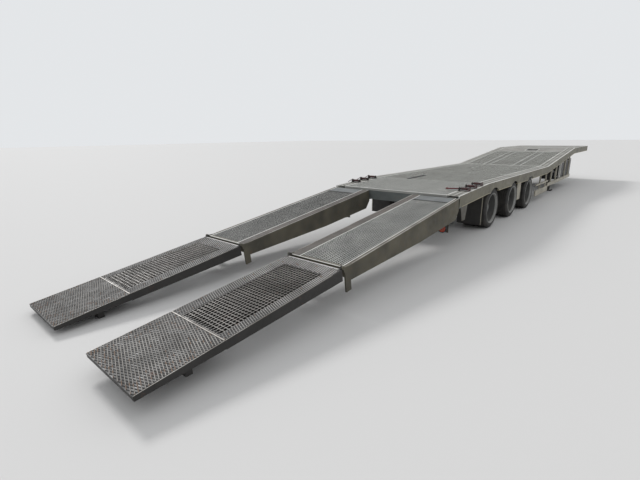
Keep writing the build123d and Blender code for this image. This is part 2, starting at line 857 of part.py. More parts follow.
def upper_frame():
    """Upper ramp section: tapered side beams, head beam, cross bars, skids and the lift levers."""
    end = upper_end
    skin = ramp_skin
    top = -skin / 2
    web = [(0, top), (end, top), (end, -upper_end_depth), *[(s, -depth) for s, depth in upper_depths[::-1]]]
    inner_web, outer_web = at_ramp_sides(0, upper_web)
    between = (inner_web[1], outer_web[0])
    body = ramp_plate(web, *inner_web) + ramp_plate(web, *outer_web)
    for y0, y1 in ((ramp_inner_y, upper_mesh_inner), (upper_mesh_outer, ramp_outer_y)):
        body = body + ramp_block(0, end, y0, y1, -skin, 0)
    for y in (upper_mesh_inner - upper_rib, upper_mesh_outer):
        body = body + ramp_block(0, end, y, y + upper_rib, -upper_rib_depth, -skin)
    body = body + ramp_block(0, head_length, upper_mesh_inner, upper_mesh_outer, -skin, 0)
    body = body + ramp_block(head_beam_start, head_beam_end, *between, -head_beam_depth, -skin)
    for s in grating_bar_places(head_length, end - upper_end_beam, upper_opening_counts[0]):
        body = body + ramp_block(s - cross_bar_width / 2, s + cross_bar_width / 2, *between, -cross_bar_bottom,
                                 -ramp_grating_depth)
    body = body + ramp_block(end - upper_end_beam, end, *between, -cross_bar_bottom, -skin)
    body = body + ramp_block(end - upper_end_beam, end, upper_mesh_inner, upper_mesh_outer, -skin, 0)
    for y0, y1 in at_ramp_sides(0, upper_web):
        body = body + ramp_block(end - skid_length, end, y0, y1, -skid_depth, -upper_end_depth)
    for y0, y1 in at_ramp_sides(*upper_lug):
        body = body + fold_lug(y0, y1, -1)
    for y0, y1 in at_ramp_sides(*fold_pin):
        body = body + prism_y(-fold_s, fold_pin_rise, fold_pin_radius, y0, y1)
    body = on_slope(body)
    room = hinge_radius + hinge_room
    for y0, y1 in hinge_lug_spans():
        body = body - block(hinge_x - room, hinge_x + room, y0 - hinge_room, y1 + hinge_room, hinge_z - room,
                            hinge_z + room)
    for barrel in hinge_barrels():
        body = body + barrel
    for y in hinge_ys:
        body = body - prism_y(hinge_x, hinge_z, hinge_pin_radius + running_clearance, y - hinge_barrel,
                              y + hinge_barrel, to_flats=True)
    for y in (cylinder_y - lever_spacing / 2, cylinder_y + lever_spacing / 2):
        body = body + lift_lever(y - lever_thickness / 2, y + lever_thickness / 2)
    return [body]


def ramp_grating(start, end, y0, y1, counts):
    panel = ramp_block(start, end, y0, y1, -ramp_grating_depth, 0)
    edge = ramp_skin
    return [on_slope(slotted_panel(panel, -end + edge, -start - edge, y0 + edge, y1 - edge, counts,
                                   ramp_grating_bar))]


def upper_grating():
    return ramp_grating(head_length, upper_end - upper_end_beam, upper_mesh_inner, upper_mesh_outer,
                        upper_opening_counts)


def lower_grating():
    return ramp_grating(lower_start + lower_head, toe_s - lower_end_beam, lower_mesh_inner, lower_mesh_outer,
                        lower_opening_counts)


def lower_frame():
    """Lower ramp section: shallow side beams and the strips round its grating."""
    start = lower_start
    skin = ramp_skin
    top = -skin / 2
    web = [(start, top), (toe_s, top), (toe_s, -lower_end_depth), (start, -lower_start_depth)]
    inner_web, outer_web = at_ramp_sides(0, lower_web)
    between = (inner_web[1], outer_web[0])
    body = ramp_plate(web, *inner_web) + ramp_plate(web, *outer_web)
    for y in (lower_mesh_inner - lower_rib, lower_mesh_outer):
        body = body + ramp_plate(web, y, y + lower_rib)
    for y0, y1 in ((ramp_inner_y, lower_mesh_inner), (lower_mesh_outer, ramp_outer_y)):
        body = body + ramp_block(start, toe_s, y0, y1, -skin, 0)
    body = body + ramp_block(start, start + lower_head, lower_mesh_inner, lower_mesh_outer, -skin, 0)
    body = body + ramp_block(start, start + lower_head_beam, *between, -lower_head_beam_depth, -skin)
    body = body + ramp_block(toe_s - lower_end_beam, toe_s, *between, -toe_start_depth, 0)
    places = grating_bar_places(start + lower_head, toe_s - lower_end_beam, lower_opening_counts[0])
    middle = places[len(places) // 2]
    half = lower_head_beam / 2
    body = body + ramp_block(middle - half, middle + half, *between, -toe_start_depth, -ramp_grating_depth)
    for y0, y1 in at_ramp_sides(*lower_lug):
        body = body + fold_lug(y0, y1, 1)
    for y0, y1 in at_ramp_sides(*lower_lug):
        body = body - prism_y(-fold_s, fold_pin_rise, fold_pin_radius + running_clearance, y0 - 1, y1 + 1,
                              to_flats=True)
    return [on_slope(body)]


def ramp_toe():
    """Wedge toe with its skin on cross bars, and feet that reach the ground."""
    web = [(toe_s, 0), (ramp_length, 0), (ramp_length, -toe_end_depth), (toe_s, -toe_start_depth)]
    inner_web, outer_web = at_ramp_sides(0, toe_web)
    between = (inner_web[1], outer_web[0])
    body = ramp_plate(web, *inner_web) + ramp_plate(web, *outer_web)
    body = body + ramp_block(toe_s, ramp_length, *between, -toe_skin, 0)
    pitch = (toe_length - toe_bar) / (toe_bar_count - 1)
    for i in range(toe_bar_count):
        s = toe_s + i * pitch
        body = body + ramp_block(s, s + toe_bar, *between, -toe_bar_depth, -toe_skin)
    back = ramp_top_x - toe_s - toe_foot_start
    feet = []
    for y0, y1 in at_ramp_sides(toe_foot_inset, toe_foot_inset + toe_foot_width):
        foot = block(back - toe_foot_length, back, y0, y1, toe_foot_end_z, ramp_top_z)
        feet.append(foot & on_slope(ramp_block(toe_s, ramp_length, y0, y1, -ramp_top_z, -toe_skin)))
    return [on_slope(body) + feet]


def cylinder_barrels():
    """Barrels of the lift cylinders with their end eyes."""
    end = rear_member_x - barrel_cap
    barrel = prism_x(cylinder_y, eye_z, barrel_radius, barrel_start, end)
    barrel = barrel - prism_x(cylinder_y, eye_z, rod_radius + running_clearance, barrel_start,
                              end - barrel_cap / 3, to_flats=True)
    half = barrel_eye_width / 2
    barrel = barrel + block(end, rear_member_x, cylinder_y - half, cylinder_y + half, eye_z - barrel_eye_radius,
                            eye_z + barrel_eye_radius)
    barrel = barrel + prism_y(rear_member_x, eye_z, barrel_eye_radius, cylinder_y - half, cylinder_y + half)
    bore = prism_y(rear_member_x, eye_z, eye_radius / 2 + seat_gap, cylinder_y - half, cylinder_y + half,
                   to_flats=True)
    return both_sides([barrel - bore])


def cylinder_brackets():
    """Plates under the rear outriggers with the pins of the cylinders' end eyes."""
    half = bracket_spacing / 2
    top = outrigger_bottom(rear_member_x, cylinder_y - half - bracket_plate / 2)
    reach = half + bracket_plate / 2
    bracket = prism_y(rear_member_x, eye_z, eye_radius / 2, cylinder_y - reach, cylinder_y + reach,
                      turn=180 / bar_sides)
    low = eye_z - eye_radius
    outline = [(rear_member_x - member_width, top), (rear_member_x + member_width, top),
               (rear_member_x + eye_radius, low), (rear_member_x - eye_radius, low)]
    for y in (cylinder_y - half, cylinder_y + half):
        bracket = bracket + side_plate(outline, y - bracket_plate / 2, y + bracket_plate / 2)
    return both_sides([bracket])


def cylinder_rod():
    """Rod with the eye that lies between the levers."""
    rod = round_x(cylinder_y, eye_z, rod_radius, eye_x, rod_inner_end)
    half = rod_eye_width / 2
    return rod + prism_y(eye_x, eye_z, eye_radius, cylinder_y - half, cylinder_y + half)


def raised(solid):
    """A right ramp piece turned up about its hinge, as it stands in this pose."""
    return Pos(hinge_x, 0, hinge_z) * Rot(0, right_ramp_raised, 0) * Pos(-hinge_x, 0, -hinge_z) * solid


def write(name, solids):
    moved = [Pos(-middle_x, 0, 0) * solid for solid in solids]
    shape = moved[0] if len(moved) == 1 else Compound(children=moved)
    export_step(shape, f"parts/{name}.step")


def chassis():
    return {
        "frame_beams": frame_beams(),
        "cross_members": cross_members(),
        "side_rails": side_rails(),
        "edge_rails": edge_rails(),
        "rear_beam": rear_beam(),
        "grating_tail": deck_grating(0, tail_length, tail_opening_counts),
        "grating_main": deck_grating(tail_length, slope_start_x, main_opening_counts),
        "grating_neck": deck_grating(slope_start_x, neck_plate_x, neck_opening_counts),
        "neck_plate": neck_plate(),
        "coupling_plate": coupling_plate(),
        "kingpin": kingpin(),
        "landing_legs": landing_legs(),
        "axles": axles(),
        "trailing_arms": trailing_arms(),
        "suspension_hangers": hangers(),
        "air_springs": air_springs(),
        "storage_boxes": storage_boxes(),
        "air_tanks": air_tanks(),
        "side_guards": side_guards(),
        "guard_boards": guard_boards(),
        "mud_flaps": mud_flaps(),
        "rear_lamps": rear_lamps(),
        "lift_barrels": cylinder_barrels(),
        "lift_brackets": cylinder_brackets(),
    }


def wheels():
    """The six twin wheels, each a pair of tyres and a pair of rims."""
    pieces = {}
    for kind, pair in (("tyres", tyre_pair()), ("rims", rim_pair())):
        for number, x in enumerate(axle_xs, 1):
            left = [Pos(x, 0, tyre_radius) * solid for solid in pair]
            pieces[f"{kind}_{number}_left"] = left
            pieces[f"{kind}_{number}_right"] = [mirror(solid, about=Plane.XZ) for solid in left]
    return pieces


def ramps():
    """Both ramps, the right one raised, with their lift rods."""
    left = {
        "ramp_upper_frame": upper_frame(),
        "ramp_upper_grating": upper_grating(),
        "ramp_lower_frame": lower_frame(),
        "ramp_lower_grating": lower_grating(),
        "ramp_toe": ramp_toe(),
    }
    pieces = {}
    for name, solids in left.items():
        pieces[f"{name}_left"] = solids
        pieces[f"{name}_right"] = [raised(mirror(solid, about=Plane.XZ)) for solid in solids]
    rod = cylinder_rod()
    stroke_per_degree = 2 * lever_radius * cos(radians(lever_angle)) / lift_travel
    pieces["lift_rod_left"] = [rod]
    pieces["lift_rod_right"] = [Pos(-stroke_per_degree * right_ramp_raised, 0, 0) * mirror(rod, about=Plane.XZ)]
    return pieces


def main():
    os.makedirs("parts", exist_ok=True)
    for group in (chassis(), wheels(), ramps()):
        for name, solids in group.items():
            write(name, solids)


main()
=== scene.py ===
import math
import random

import bmesh
import bpy
from mathutils import Matrix, Vector


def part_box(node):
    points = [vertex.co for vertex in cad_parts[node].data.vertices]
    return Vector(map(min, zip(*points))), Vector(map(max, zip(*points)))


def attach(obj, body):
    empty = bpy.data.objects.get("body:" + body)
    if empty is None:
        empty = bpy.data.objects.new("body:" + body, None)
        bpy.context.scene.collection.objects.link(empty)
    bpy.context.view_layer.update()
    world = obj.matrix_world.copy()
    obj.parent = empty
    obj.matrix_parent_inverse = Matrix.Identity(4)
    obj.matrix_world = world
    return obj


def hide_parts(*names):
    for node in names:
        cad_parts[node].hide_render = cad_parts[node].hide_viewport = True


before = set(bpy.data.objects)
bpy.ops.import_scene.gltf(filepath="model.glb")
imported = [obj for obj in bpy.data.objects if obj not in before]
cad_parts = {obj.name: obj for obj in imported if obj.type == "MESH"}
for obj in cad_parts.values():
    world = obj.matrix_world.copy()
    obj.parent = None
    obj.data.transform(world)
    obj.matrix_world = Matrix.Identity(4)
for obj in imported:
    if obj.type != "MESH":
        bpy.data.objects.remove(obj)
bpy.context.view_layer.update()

SIDES = ((1, "left"), (-1, "right"))

# Places and sizes in metres. Distances along the trailer are measured from the deck's rear edge.
TAIL_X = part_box("edge_rails")[0].x
HALF_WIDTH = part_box("side_rails")[1].y
MAIN_X, NECK_X, CREST_X, NOSE_X = 1.376, 6.324, 10.285, 13.2
TAIL_Z, DECK_Z, NECK_Z = 0.841, 0.91, 1.302
DECK_LINE = ((0, TAIL_Z), (MAIN_X, DECK_Z), (NECK_X, DECK_Z), (CREST_X, NECK_Z), (NOSE_X, NECK_Z))
AXLE_XS = (1.752, 3.112, 4.472)
TYRE_RADIUS = 0.395
TYRE_WIDTH = 0.235
INNER_TYRE_Y, OUTER_TYRE_Y = 0.8725, 1.1375
HUB_Y = 1.005
RIM_REACH = TYRE_WIDTH / 2 - 0.004
DECK_HALF = 1.035
EDGE_OUTER = 1.267
EDGE_DEPTH = 0.038
NECK_PLATE_X = 9.18
RAIL_DEPTH = 0.18
ARCH_REACH = 0.235
SPRING_BEHIND = 0.33
SPRING_SEAT = TYRE_RADIUS - 0.022
BEAM_Y = 0.5
BEAM_BOTTOM = 0.56
TANK = (6.45, 7.35)
TANK_YZ = (0.8, 0.66)
TANK_RADIUS = 0.1245
BOX_SPAN = (8.7, 10.4)
BOX_FACE = 1.18
BOX_HEIGHTS = (0.33, 0.94)
LEG_X = 8.3
LEG_FACE = 1.025
CRANK_Z = 0.62
LAMP_YZ = (1.024, 0.284)
LAMP_BACK = -0.035
FLAP = (1.25, 0.759, 1.229)
FLAP_BAR = 0.04
BARREL = (0.29, 1.022)
BARREL_YZ = (0.87, 0.56918)

# Ramps: distances run down the slope from the ramp's top edge
RAMP_LENGTH = 5.3
RAMP_TOP = (-0.05, 0.809)
RAMP_FALL = 0.714
RAMP_TIP = (RAMP_TOP[0] - math.sqrt(RAMP_LENGTH ** 2 - RAMP_FALL ** 2), RAMP_TOP[1] - RAMP_FALL)
HINGE = (-0.045, 0.79)
HINGE_YS = (0.554, 1.174)
LEVER_ARM = 0.33
LEVER_ANGLE = math.radians(-42)
RIGHT_RAISED = math.radians(0.95)
FOLD_S = 3.046
FOLD_GAP = 0.05
UPPER_END = FOLD_S - FOLD_GAP / 2
LOWER_START = FOLD_S + FOLD_GAP / 2
TOE_S = 4.568
RAMP_INNER = 0.453
RAMP_OUTER = 1.275
UPPER_MESH = (0.598, 1.222)
LOWER_MESH = (0.615, 1.16)
HEAD_PLATE = 0.3

# Gratings: bars and their spacing
BAR_THICK = 0.006
MESH_DEPTH = 0.03
MESH_PITCH = 0.033
LOWER_MESH_DEPTH = 0.028
LOWER_MESH_PITCH = 0.04

# Lashing strips: square holes in a plate
HOLE = 0.045
HOLE_PITCH = 0.09
HOLE_ROWS = 2
STRIP_THICK = 0.008

# Expanded metal: the diamonds' short way along the ramp and long way across it
SHORT_WAY = 0.0244
LONG_WAY = 0.069
STRAND_WIDTH = 0.0062
STRAND_THICK = 0.0028
STRAND_LIFT = 0.0036
STRAND_SINK = 0.0018
STRAND_LEAN = 0.45
SHORTEST_SHARE = 0.08


def along(x):
    """Row frame X of a distance from the deck's rear edge."""
    return TAIL_X + x


def deck_z(x):
    """Height of the deck's surface at a distance from its rear edge."""
    for (x0, z0), (x1, z1) in zip(DECK_LINE, DECK_LINE[1:]):
        if x <= x1:
            return z0 + (z1 - z0) * (x - x0) / (x1 - x0)
    return DECK_LINE[-1][1]


def slope_frame(start, end, side=1):
    """Frame whose first axis runs from one (x, z) point to another, and whose third stands off it."""
    ahead = Vector((end[0] - start[0], 0, end[1] - start[1])).normalized()
    up = Vector((-ahead.z, 0, ahead.x))
    if up.z < 0:
        up.negate()
    axes = Matrix((ahead, Vector((0, side, 0)), up)).transposed().to_4x4()
    return Matrix.Translation((along(start[0]), 0, start[1])) @ axes


def ramp_turn(side):
    """Turn about the hinge to where the ramp on this side rests: only the right one is raised."""
    if side > 0:
        return Matrix.Identity(4)
    hinge = Matrix.Translation((along(HINGE[0]), 0, HINGE[1]))
    return hinge @ Matrix.Rotation(RIGHT_RAISED, 4, "Y") @ hinge.inverted()


def ramp_frame(side):
    """Frame of a ramp: along the slope, away from the middle, off the surface."""
    return ramp_turn(side) @ slope_frame(RAMP_TOP, RAMP_TIP, side)


def place_frame(x=0.0, side=1):
    """Frame at a distance along the trailer, mirrored for the right side."""
    return Matrix.Translation((along(x), 0, 0)) @ Matrix.Diagonal((1, side, 1, 1))


def spaced(low, high, pitch):
    """Even places from low to high, about a pitch apart."""
    count = max(1, round((high - low) / pitch))
    return [low + (high - low) * i / count for i in range(count + 1)]


# Order of two coordinates and the one along an axis
AXES = {
    "x": lambda u, v, w: (w, u, v),
    "y": lambda u, v, w: (u, w, v),
    "z": lambda u, v, w: (u, v, w),
}


class Shape:
    """Points and faces of a piece in a frame of its own."""

    def __init__(self, place):
        self.place = place
        self.points = []
        self.faces = []

    def add(self, points, faces):
        """Adds points, and faces that count from the first of them."""
        base = len(self.points)
        self.points.extend(points)
        self.faces.extend([tuple(base + i for i in face) for face in faces])

    def box(self, low, high):
        """Box between two corners."""
        (a, b, c), (d, e, f) = low, high
        points = [(x, y, z) for x in (a, d) for y in (b, e) for z in (c, f)]
        self.add(points, [(0, 1, 3, 2), (4, 6, 7, 5), (0, 4, 5, 1), (2, 3, 7, 6), (0, 2, 6, 4), (1, 5, 7, 3)])

    def bar(self, start, end, width, height, lean=0.0, capped=True):
        """Flat bar between two points, its section turned by a lean about its length."""
        a, b = Vector(start), Vector(end)
        along_bar = (b - a).normalized()
        across = Vector((0, 0, 1)).cross(along_bar)
        across = Vector((0, 1, 0)) if across.length < 1e-6 else across.normalized()
        up = along_bar.cross(across)
        turn = Matrix.Rotation(lean, 3, along_bar)
        across, up = turn @ across * width / 2, turn @ up * height / 2
        points = [p + i * across + j * up for p in (a, b) for i, j in ((-1, -1), (1, -1), (1, 1), (-1, 1))]
        faces = [(0, 1, 5, 4), (1, 2, 6, 5), (2, 3, 7, 6), (3, 0, 4, 7)]
        if capped:
            faces += [(0, 3, 2, 1), (4, 5, 6, 7)]
        self.add([tuple(p) for p in points], faces)

    def prism(self, outline, low, high, axis="y"):
        """Outline of two coordinates, pushed along the third axis."""
        count = len(outline)
        points = [AXES[axis](u, v, w) for w in (low, high) for u, v in outline]
        sides = [(i, (i + 1) % count, count + (i + 1) % count, count + i) for i in range(count)]
        ends = [tuple(range(count))[::-1], tuple(range(count, 2 * count))]
        self.add(points, sides + ends)

    def lathe(self, profile, centre, steps, axis="y"):
        """Closed profile of (radius, offset) points turned about an axis through the centre."""
        count = len(profile)
        points = []
        faces = []
        for step in range(steps):
            angle = 2 * math.pi * step / steps
            for radius, offset in profile:
                turned = AXES[axis](radius * math.cos(angle), radius * math.sin(angle), offset)
                points.append(tuple(p + q for p, q in zip(turned, centre)))
            a, b = step * count, (step + 1) % steps * count
            for i in range(count):
                j = (i + 1) % count
                faces.append((a + i, a + j, b + j, b + i))
        self.add(points, faces)

    def rod(self, start, end, radius, sides=10):
        """Round bar between two points."""
        a, b = Vector(start), Vector(end)
        turn = (b - a).to_track_quat("Z", "Y").to_matrix()
        ring = [turn @ Vector((radius * math.cos(2 * math.pi * i / sides),
                               radius * math.sin(2 * math.pi * i / sides), 0)) for i in range(sides)]
        points = [tuple(p + q) for p in (a, b) for q in ring]
        faces = [(i, (i + 1) % sides, sides + (i + 1) % sides, sides + i) for i in range(sides)]
        faces += [tuple(range(sides))[::-1], tuple(range(sides, 2 * sides))]
        self.add(points, faces)

    def piece(self, name, body, finish, replaces=(), smooth=False, bevel=0.0):
        """Makes the object, in place in the row frame, riding on its body."""
        mesh = bpy.data.meshes.new(name)
        mesh.from_pydata(self.points, [], self.faces)
        mesh.transform(self.place)
        if self.place.determinant() < 0:
            mesh.flip_normals()
        tidy_normals(mesh)
        mesh.materials.append(finish)
        piece = bpy.data.objects.new(name, mesh)
        bpy.context.scene.collection.objects.link(piece)
        if smooth:
            mesh.shade_smooth()
            mesh.set_sharp_from_angle(angle=math.radians(35))
        if bevel:
            edge = piece.modifiers.new("edge", "BEVEL")
            edge.width = bevel
            edge.segments = 2
            edge.limit_method = "ANGLE"
        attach(piece, body)
        if replaces:
            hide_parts(*replaces)


def tidy_normals(mesh):
    """Turns every face outward."""
    work = bmesh.new()
    work.from_mesh(mesh)
    bmesh.ops.recalc_face_normals(work, faces=work.faces)
    work.to_mesh(mesh)
    work.free()


class Finish:
    """A material with short ways to add and join its nodes."""

    def __init__(self, name, roughness, metallic=0.0):
        self.material = bpy.data.materials.new(name)
        self.material.use_nodes = True
        self.tree = self.material.node_tree
        self.shader = self.tree.nodes["Principled BSDF"]
        self.shader.inputs["Roughness"].default_value = roughness
        self.shader.inputs["Metallic"].default_value = metallic
        coordinates = self.tree.nodes.new("ShaderNodeTexCoord")
        self.place = coordinates.outputs["Object"]
        self.normal = coordinates.outputs["Normal"]

    def join(self, output, target):
        """Links an output to an input."""
        self.tree.links.new(output, target)

    def noise(self, scale, detail, rough=0.55):
        """Noise over the piece, finer with scale."""
        texture = self.tree.nodes.new("ShaderNodeTexNoise")
        texture.inputs["Scale"].default_value = scale
        texture.inputs["Detail"].default_value = detail
        texture.inputs["Roughness"].default_value = rough
        self.join(self.place, texture.inputs["Vector"])
        return texture.outputs["Fac"]

    def spread(self, value, low, high, start=0.0, end=1.0):
        """Maps a value from low..high to start..end and holds it there."""
        node = self.tree.nodes.new("ShaderNodeMapRange")
        node.clamp = True
        for name, number in (("From Min", low), ("From Max", high), ("To Min", start), ("To Max", end)):
            node.inputs[name].default_value = number
        self.join(value, node.inputs["Value"])
        return node.outputs["Result"]

    def math(self, operation, first, second):
        """Result of an operation on two values, each a number or a socket."""
        node = self.tree.nodes.new("ShaderNodeMath")
        node.operation = operation
        for socket, value in zip(node.inputs, (first, second)):
            if isinstance(value, (int, float)):
                socket.default_value = value
            else:
                self.join(value, socket)
        return node.outputs["Value"]

    def mix(self, factor, first, second):
        """Mixes two colours, each a tuple or a socket."""
        node = self.tree.nodes.new("ShaderNodeMix")
        node.data_type = "RGBA"
        self.join(factor, node.inputs["Factor"])
        for socket, value in ((node.inputs[6], first), (node.inputs[7], second)):
            if isinstance(value, tuple):
                socket.default_value = (*value, 1)
            else:
                self.join(value, socket)
        return node.outputs[2]

    def facing_up(self, low=0.3, high=0.95):
        """One where a surface faces up at rest, for dust and for the painted shade on sides."""
        split = self.tree.nodes.new("ShaderNodeSeparateXYZ")
        self.join(self.normal, split.inputs["Vector"])
        return self.spread(split.outputs["Z"], low, high)

    def worn_edges(self, radius=0.004, low=0.06, high=0.3):
        """One along sharp edges, from the difference of a rounded normal."""
        bevel = self.tree.nodes.new("ShaderNodeBevel")
        bevel.samples = 4
        bevel.inputs["Radius"].default_value = radius
        geometry = self.tree.nodes.new("ShaderNodeNewGeometry")
        dot = self.tree.nodes.new("ShaderNodeVectorMath")
        dot.operation = "DOT_PRODUCT"
        self.join(bevel.outputs["Normal"], dot.inputs[0])
        self.join(geometry.outputs["Normal"], dot.inputs[1])
        return self.spread(self.math("SUBTRACT", 1.0, dot.outputs["Value"]), low, high)

    def bump(self, height, strength, distance):
        """Raises the surface by a height."""
        node = self.tree.nodes.new("ShaderNodeBump")
        node.inputs["Strength"].default_value = strength
        node.inputs["Distance"].default_value = distance
        self.join(height, node.inputs["Height"])
        self.join(node.outputs["Normal"], self.shader.inputs["Normal"])

    def colour(self, value):
        """Sets the colour, a tuple or a socket."""
        if isinstance(value, tuple):
            self.shader.inputs["Base Color"].default_value = (*value, 1)
        else:
            self.join(value, self.shader.inputs["Base Color"])


RUST = (0.16, 0.055, 0.02)
DUST = (0.33, 0.29, 0.24)


def weathered(name, light, dark, roughness, metallic, rust, dust, worn=None, sides=None):
    """Finish with blotched colour, patches of rust, dust, worn edges, painted shade on the sides and a fine
    grain.
    """
    finish = Finish(name, roughness, metallic)
    blotches = finish.spread(finish.noise(3.5, 6), 0.35, 0.65)
    base = finish.mix(blotches, dark, light)
    if worn:
        base = finish.mix(finish.math("MULTIPLY", finish.worn_edges(), 0.8), base, worn)
    patches = finish.spread(finish.noise(9.0, 8, 0.7), 0.66 - 0.16 * rust, 0.8 - 0.1 * rust)
    base = finish.mix(finish.math("MULTIPLY", patches, min(1.0, 0.4 + rust)), base, RUST)
    if dust:
        settled = finish.math("MULTIPLY", finish.facing_up(), finish.spread(finish.noise(6.0, 5), 0.3, 0.7))
        base = finish.mix(finish.math("MULTIPLY", settled, dust), base, DUST)
    # Painted shade: faces that don't face up take the sides colour, standing in for the shade inside the
    # gratings
    if sides:
        base = finish.mix(finish.facing_up(0.6, 0.9), sides, base)
    finish.colour(base)
    shine = finish.spread(finish.noise(14.0, 4), 0.3, 0.7, roughness - 0.12, roughness + 0.15)
    finish.join(shine, finish.shader.inputs["Roughness"])
    finish.bump(finish.noise(60.0, 4), 0.35, 0.0015)
    return finish.material


def tyre_rubber():
    """Dull black rubber, greyer in blotches, with a fine grain."""
    finish = Finish("tyre_rubber", 0.75)
    blotches = finish.spread(finish.noise(5.0, 6), 0.35, 0.7)
    finish.colour(finish.mix(blotches, (0.012, 0.012, 0.012), (0.05, 0.046, 0.04)))
    finish.bump(finish.noise(180.0, 3), 0.3, 0.001)
    return finish.material


def red_lens():
    """Clear-coated red plastic with fine brighter spots."""
    finish = Finish("red_lens", 0.15)
    spots = finish.spread(finish.noise(60.0, 1), 0.3, 0.7)
    finish.colour(finish.mix(spots, (0.34, 0.035, 0.02), (0.55, 0.09, 0.04)))
    finish.shader.inputs["Coat Weight"].default_value = 0.5
    return finish.material


# Columns: light and dark colour, roughness, metal, rust, dust, and colours of worn edges and of the painted
# shade on sides
WEATHERED = {
    "deck_grating": ((0.54, 0.54, 0.495), (0.38, 0.38, 0.345), 0.5, 0.1, 0.05, 0.15,
                     None, (0.25, 0.25, 0.23)),
    # tail_grating is a lighter copy of deck_grating, a painted highlight for the glare on the tail
    "tail_grating": ((0.64, 0.64, 0.6), (0.46, 0.46, 0.43), 0.45, 0.1, 0.05, 0.12, None, (0.32, 0.32, 0.3)),
    "edge_strip": ((0.33, 0.325, 0.295), (0.22, 0.215, 0.195), 0.55, 0.1, 0.1, 0.2),
    "upper_grating": ((0.62, 0.62, 0.585), (0.4, 0.405, 0.385), 0.55, 0.1, 0.12, 0.1,
                      None, (0.13, 0.132, 0.125)),
    # shaded_grating is a darker copy of upper_grating, painted shade for the left ramp
    "shaded_grating": ((0.4, 0.4, 0.38), (0.26, 0.262, 0.25), 0.6, 0.05, 0.15, 0.1,
                       None, (0.06, 0.06, 0.057)),
    "bright_edge": ((0.74, 0.73, 0.7), (0.56, 0.55, 0.52), 0.45, 0.1, 0.0, 0.1),
    "worn_bar": ((0.4, 0.385, 0.36), (0.21, 0.185, 0.16), 0.5, 0.2, 0.35, 0.0),
    "mesh_strand": ((0.37, 0.35, 0.325), (0.18, 0.167, 0.153), 0.45, 0.3, 0.3, 0.05),
    # mesh_dark is painted shade: a near-black copy of the strand steel for strands leaning away from the
    # light
    "mesh_dark": ((0.035, 0.032, 0.03), (0.016, 0.015, 0.014), 0.6, 0.0, 0.3, 0.0),
    "mesh_rust": ((0.23, 0.155, 0.11), (0.12, 0.08, 0.058), 0.6, 0.1, 0.3, 0.05),
    "strip_strand": ((0.26, 0.25, 0.24), (0.13, 0.123, 0.115), 0.5, 0.2, 0.3, 0.05),
    "lower_grating": ((0.29, 0.27, 0.25), (0.14, 0.13, 0.118), 0.5, 0.2, 0.4, 0.05,
                      None, (0.022, 0.02, 0.018)),
    "head_plate": ((0.155, 0.167, 0.17), (0.1, 0.108, 0.11), 0.7, 0.0, 0.1, 0.1),
    "rear_paint": ((0.13, 0.145, 0.14), (0.08, 0.088, 0.086), 0.55, 0.0, 0.3, 0.2),
    "lip_paint": ((0.42, 0.38, 0.25), (0.3, 0.27, 0.18), 0.45, 0.0, 0.1, 0.1),
    "seam_steel": ((0.55, 0.55, 0.52), (0.4, 0.4, 0.38), 0.4, 0.3, 0.05, 0.1),
    "neck_paint": ((0.29, 0.285, 0.265), (0.2, 0.195, 0.18), 0.75, 0.0, 0.15, 0.2),
    "ramp_paint": ((0.105, 0.094, 0.066), (0.055, 0.05, 0.037), 0.68, 0.0, 0.35, 0.2, (0.2, 0.18, 0.15)),
    "ramp_band": ((0.085, 0.07, 0.06), (0.05, 0.042, 0.036), 0.65, 0.0, 0.25, 0.1),
    "ramp_dark": ((0.026, 0.024, 0.022), (0.014, 0.013, 0.012), 0.55, 0.0, 0.3, 0.04),
    "rail_paint": ((0.16, 0.148, 0.108), (0.1, 0.092, 0.066), 0.55, 0.0, 0.2, 0.2, (0.28, 0.27, 0.22)),
    "frame_paint": ((0.06, 0.055, 0.05), (0.035, 0.032, 0.03), 0.55, 0.0, 0.35, 0.3),
    "black_paint": ((0.03, 0.028, 0.027), (0.016, 0.015, 0.015), 0.5, 0.0, 0.3, 0.3),
    "guard_steel": ((0.4, 0.37, 0.3), (0.28, 0.26, 0.21), 0.5, 0.1, 0.15, 0.2),
    "tank_paint": ((0.6, 0.6, 0.57), (0.48, 0.48, 0.45), 0.4, 0.0, 0.05, 0.3),
    "box_black": ((0.022, 0.022, 0.024), (0.014, 0.014, 0.015), 0.45, 0.0, 0.0, 0.25),
    "flap_rubber": ((0.036, 0.034, 0.031), (0.022, 0.021, 0.02), 0.75, 0.0, 0.0, 0.3),
    "bellows_rubber": ((0.04, 0.039, 0.037), (0.02, 0.02, 0.02), 0.65, 0.0, 0.0, 0.4),
    "winch_black": ((0.05, 0.038, 0.035), (0.02, 0.016, 0.015), 0.45, 0.2, 0.35, 0.2),
    "winch_red": ((0.075, 0.018, 0.02), (0.035, 0.012, 0.012), 0.55, 0.0, 0.3, 0.05),
    "bracket_paint": ((0.13, 0.12, 0.095), (0.08, 0.074, 0.06), 0.55, 0.0, 0.3, 0.1),
    # Painted shade: near-black finish for sheets laid in gaps and slots
    "gap_shade_black": ((0.012, 0.012, 0.012), (0.008, 0.008, 0.008), 0.9, 0.0, 0.0, 0.0),
    "rim_paint": ((0.13, 0.13, 0.125), (0.06, 0.06, 0.058), 0.5, 0.1, 0.3, 0.25),
    "rim_lip": ((0.3, 0.3, 0.285), (0.18, 0.18, 0.17), 0.5, 0.1, 0.15, 0.15),
    "bare_steel": ((0.4, 0.39, 0.37), (0.25, 0.24, 0.23), 0.3, 0.9, 0.15, 0.0),
    "chrome_rod": ((0.75, 0.75, 0.75), (0.65, 0.65, 0.65), 0.2, 1.0, 0.0, 0.0),
    "ratchet_red": ((0.17, 0.02, 0.025), (0.09, 0.012, 0.014), 0.45, 0.0, 0.2, 0.1),
}
finishes = {name: weathered(name, *row) for name, row in WEATHERED.items()}
finishes["tyre_rubber"] = tyre_rubber()
finishes["red_lens"] = red_lens()


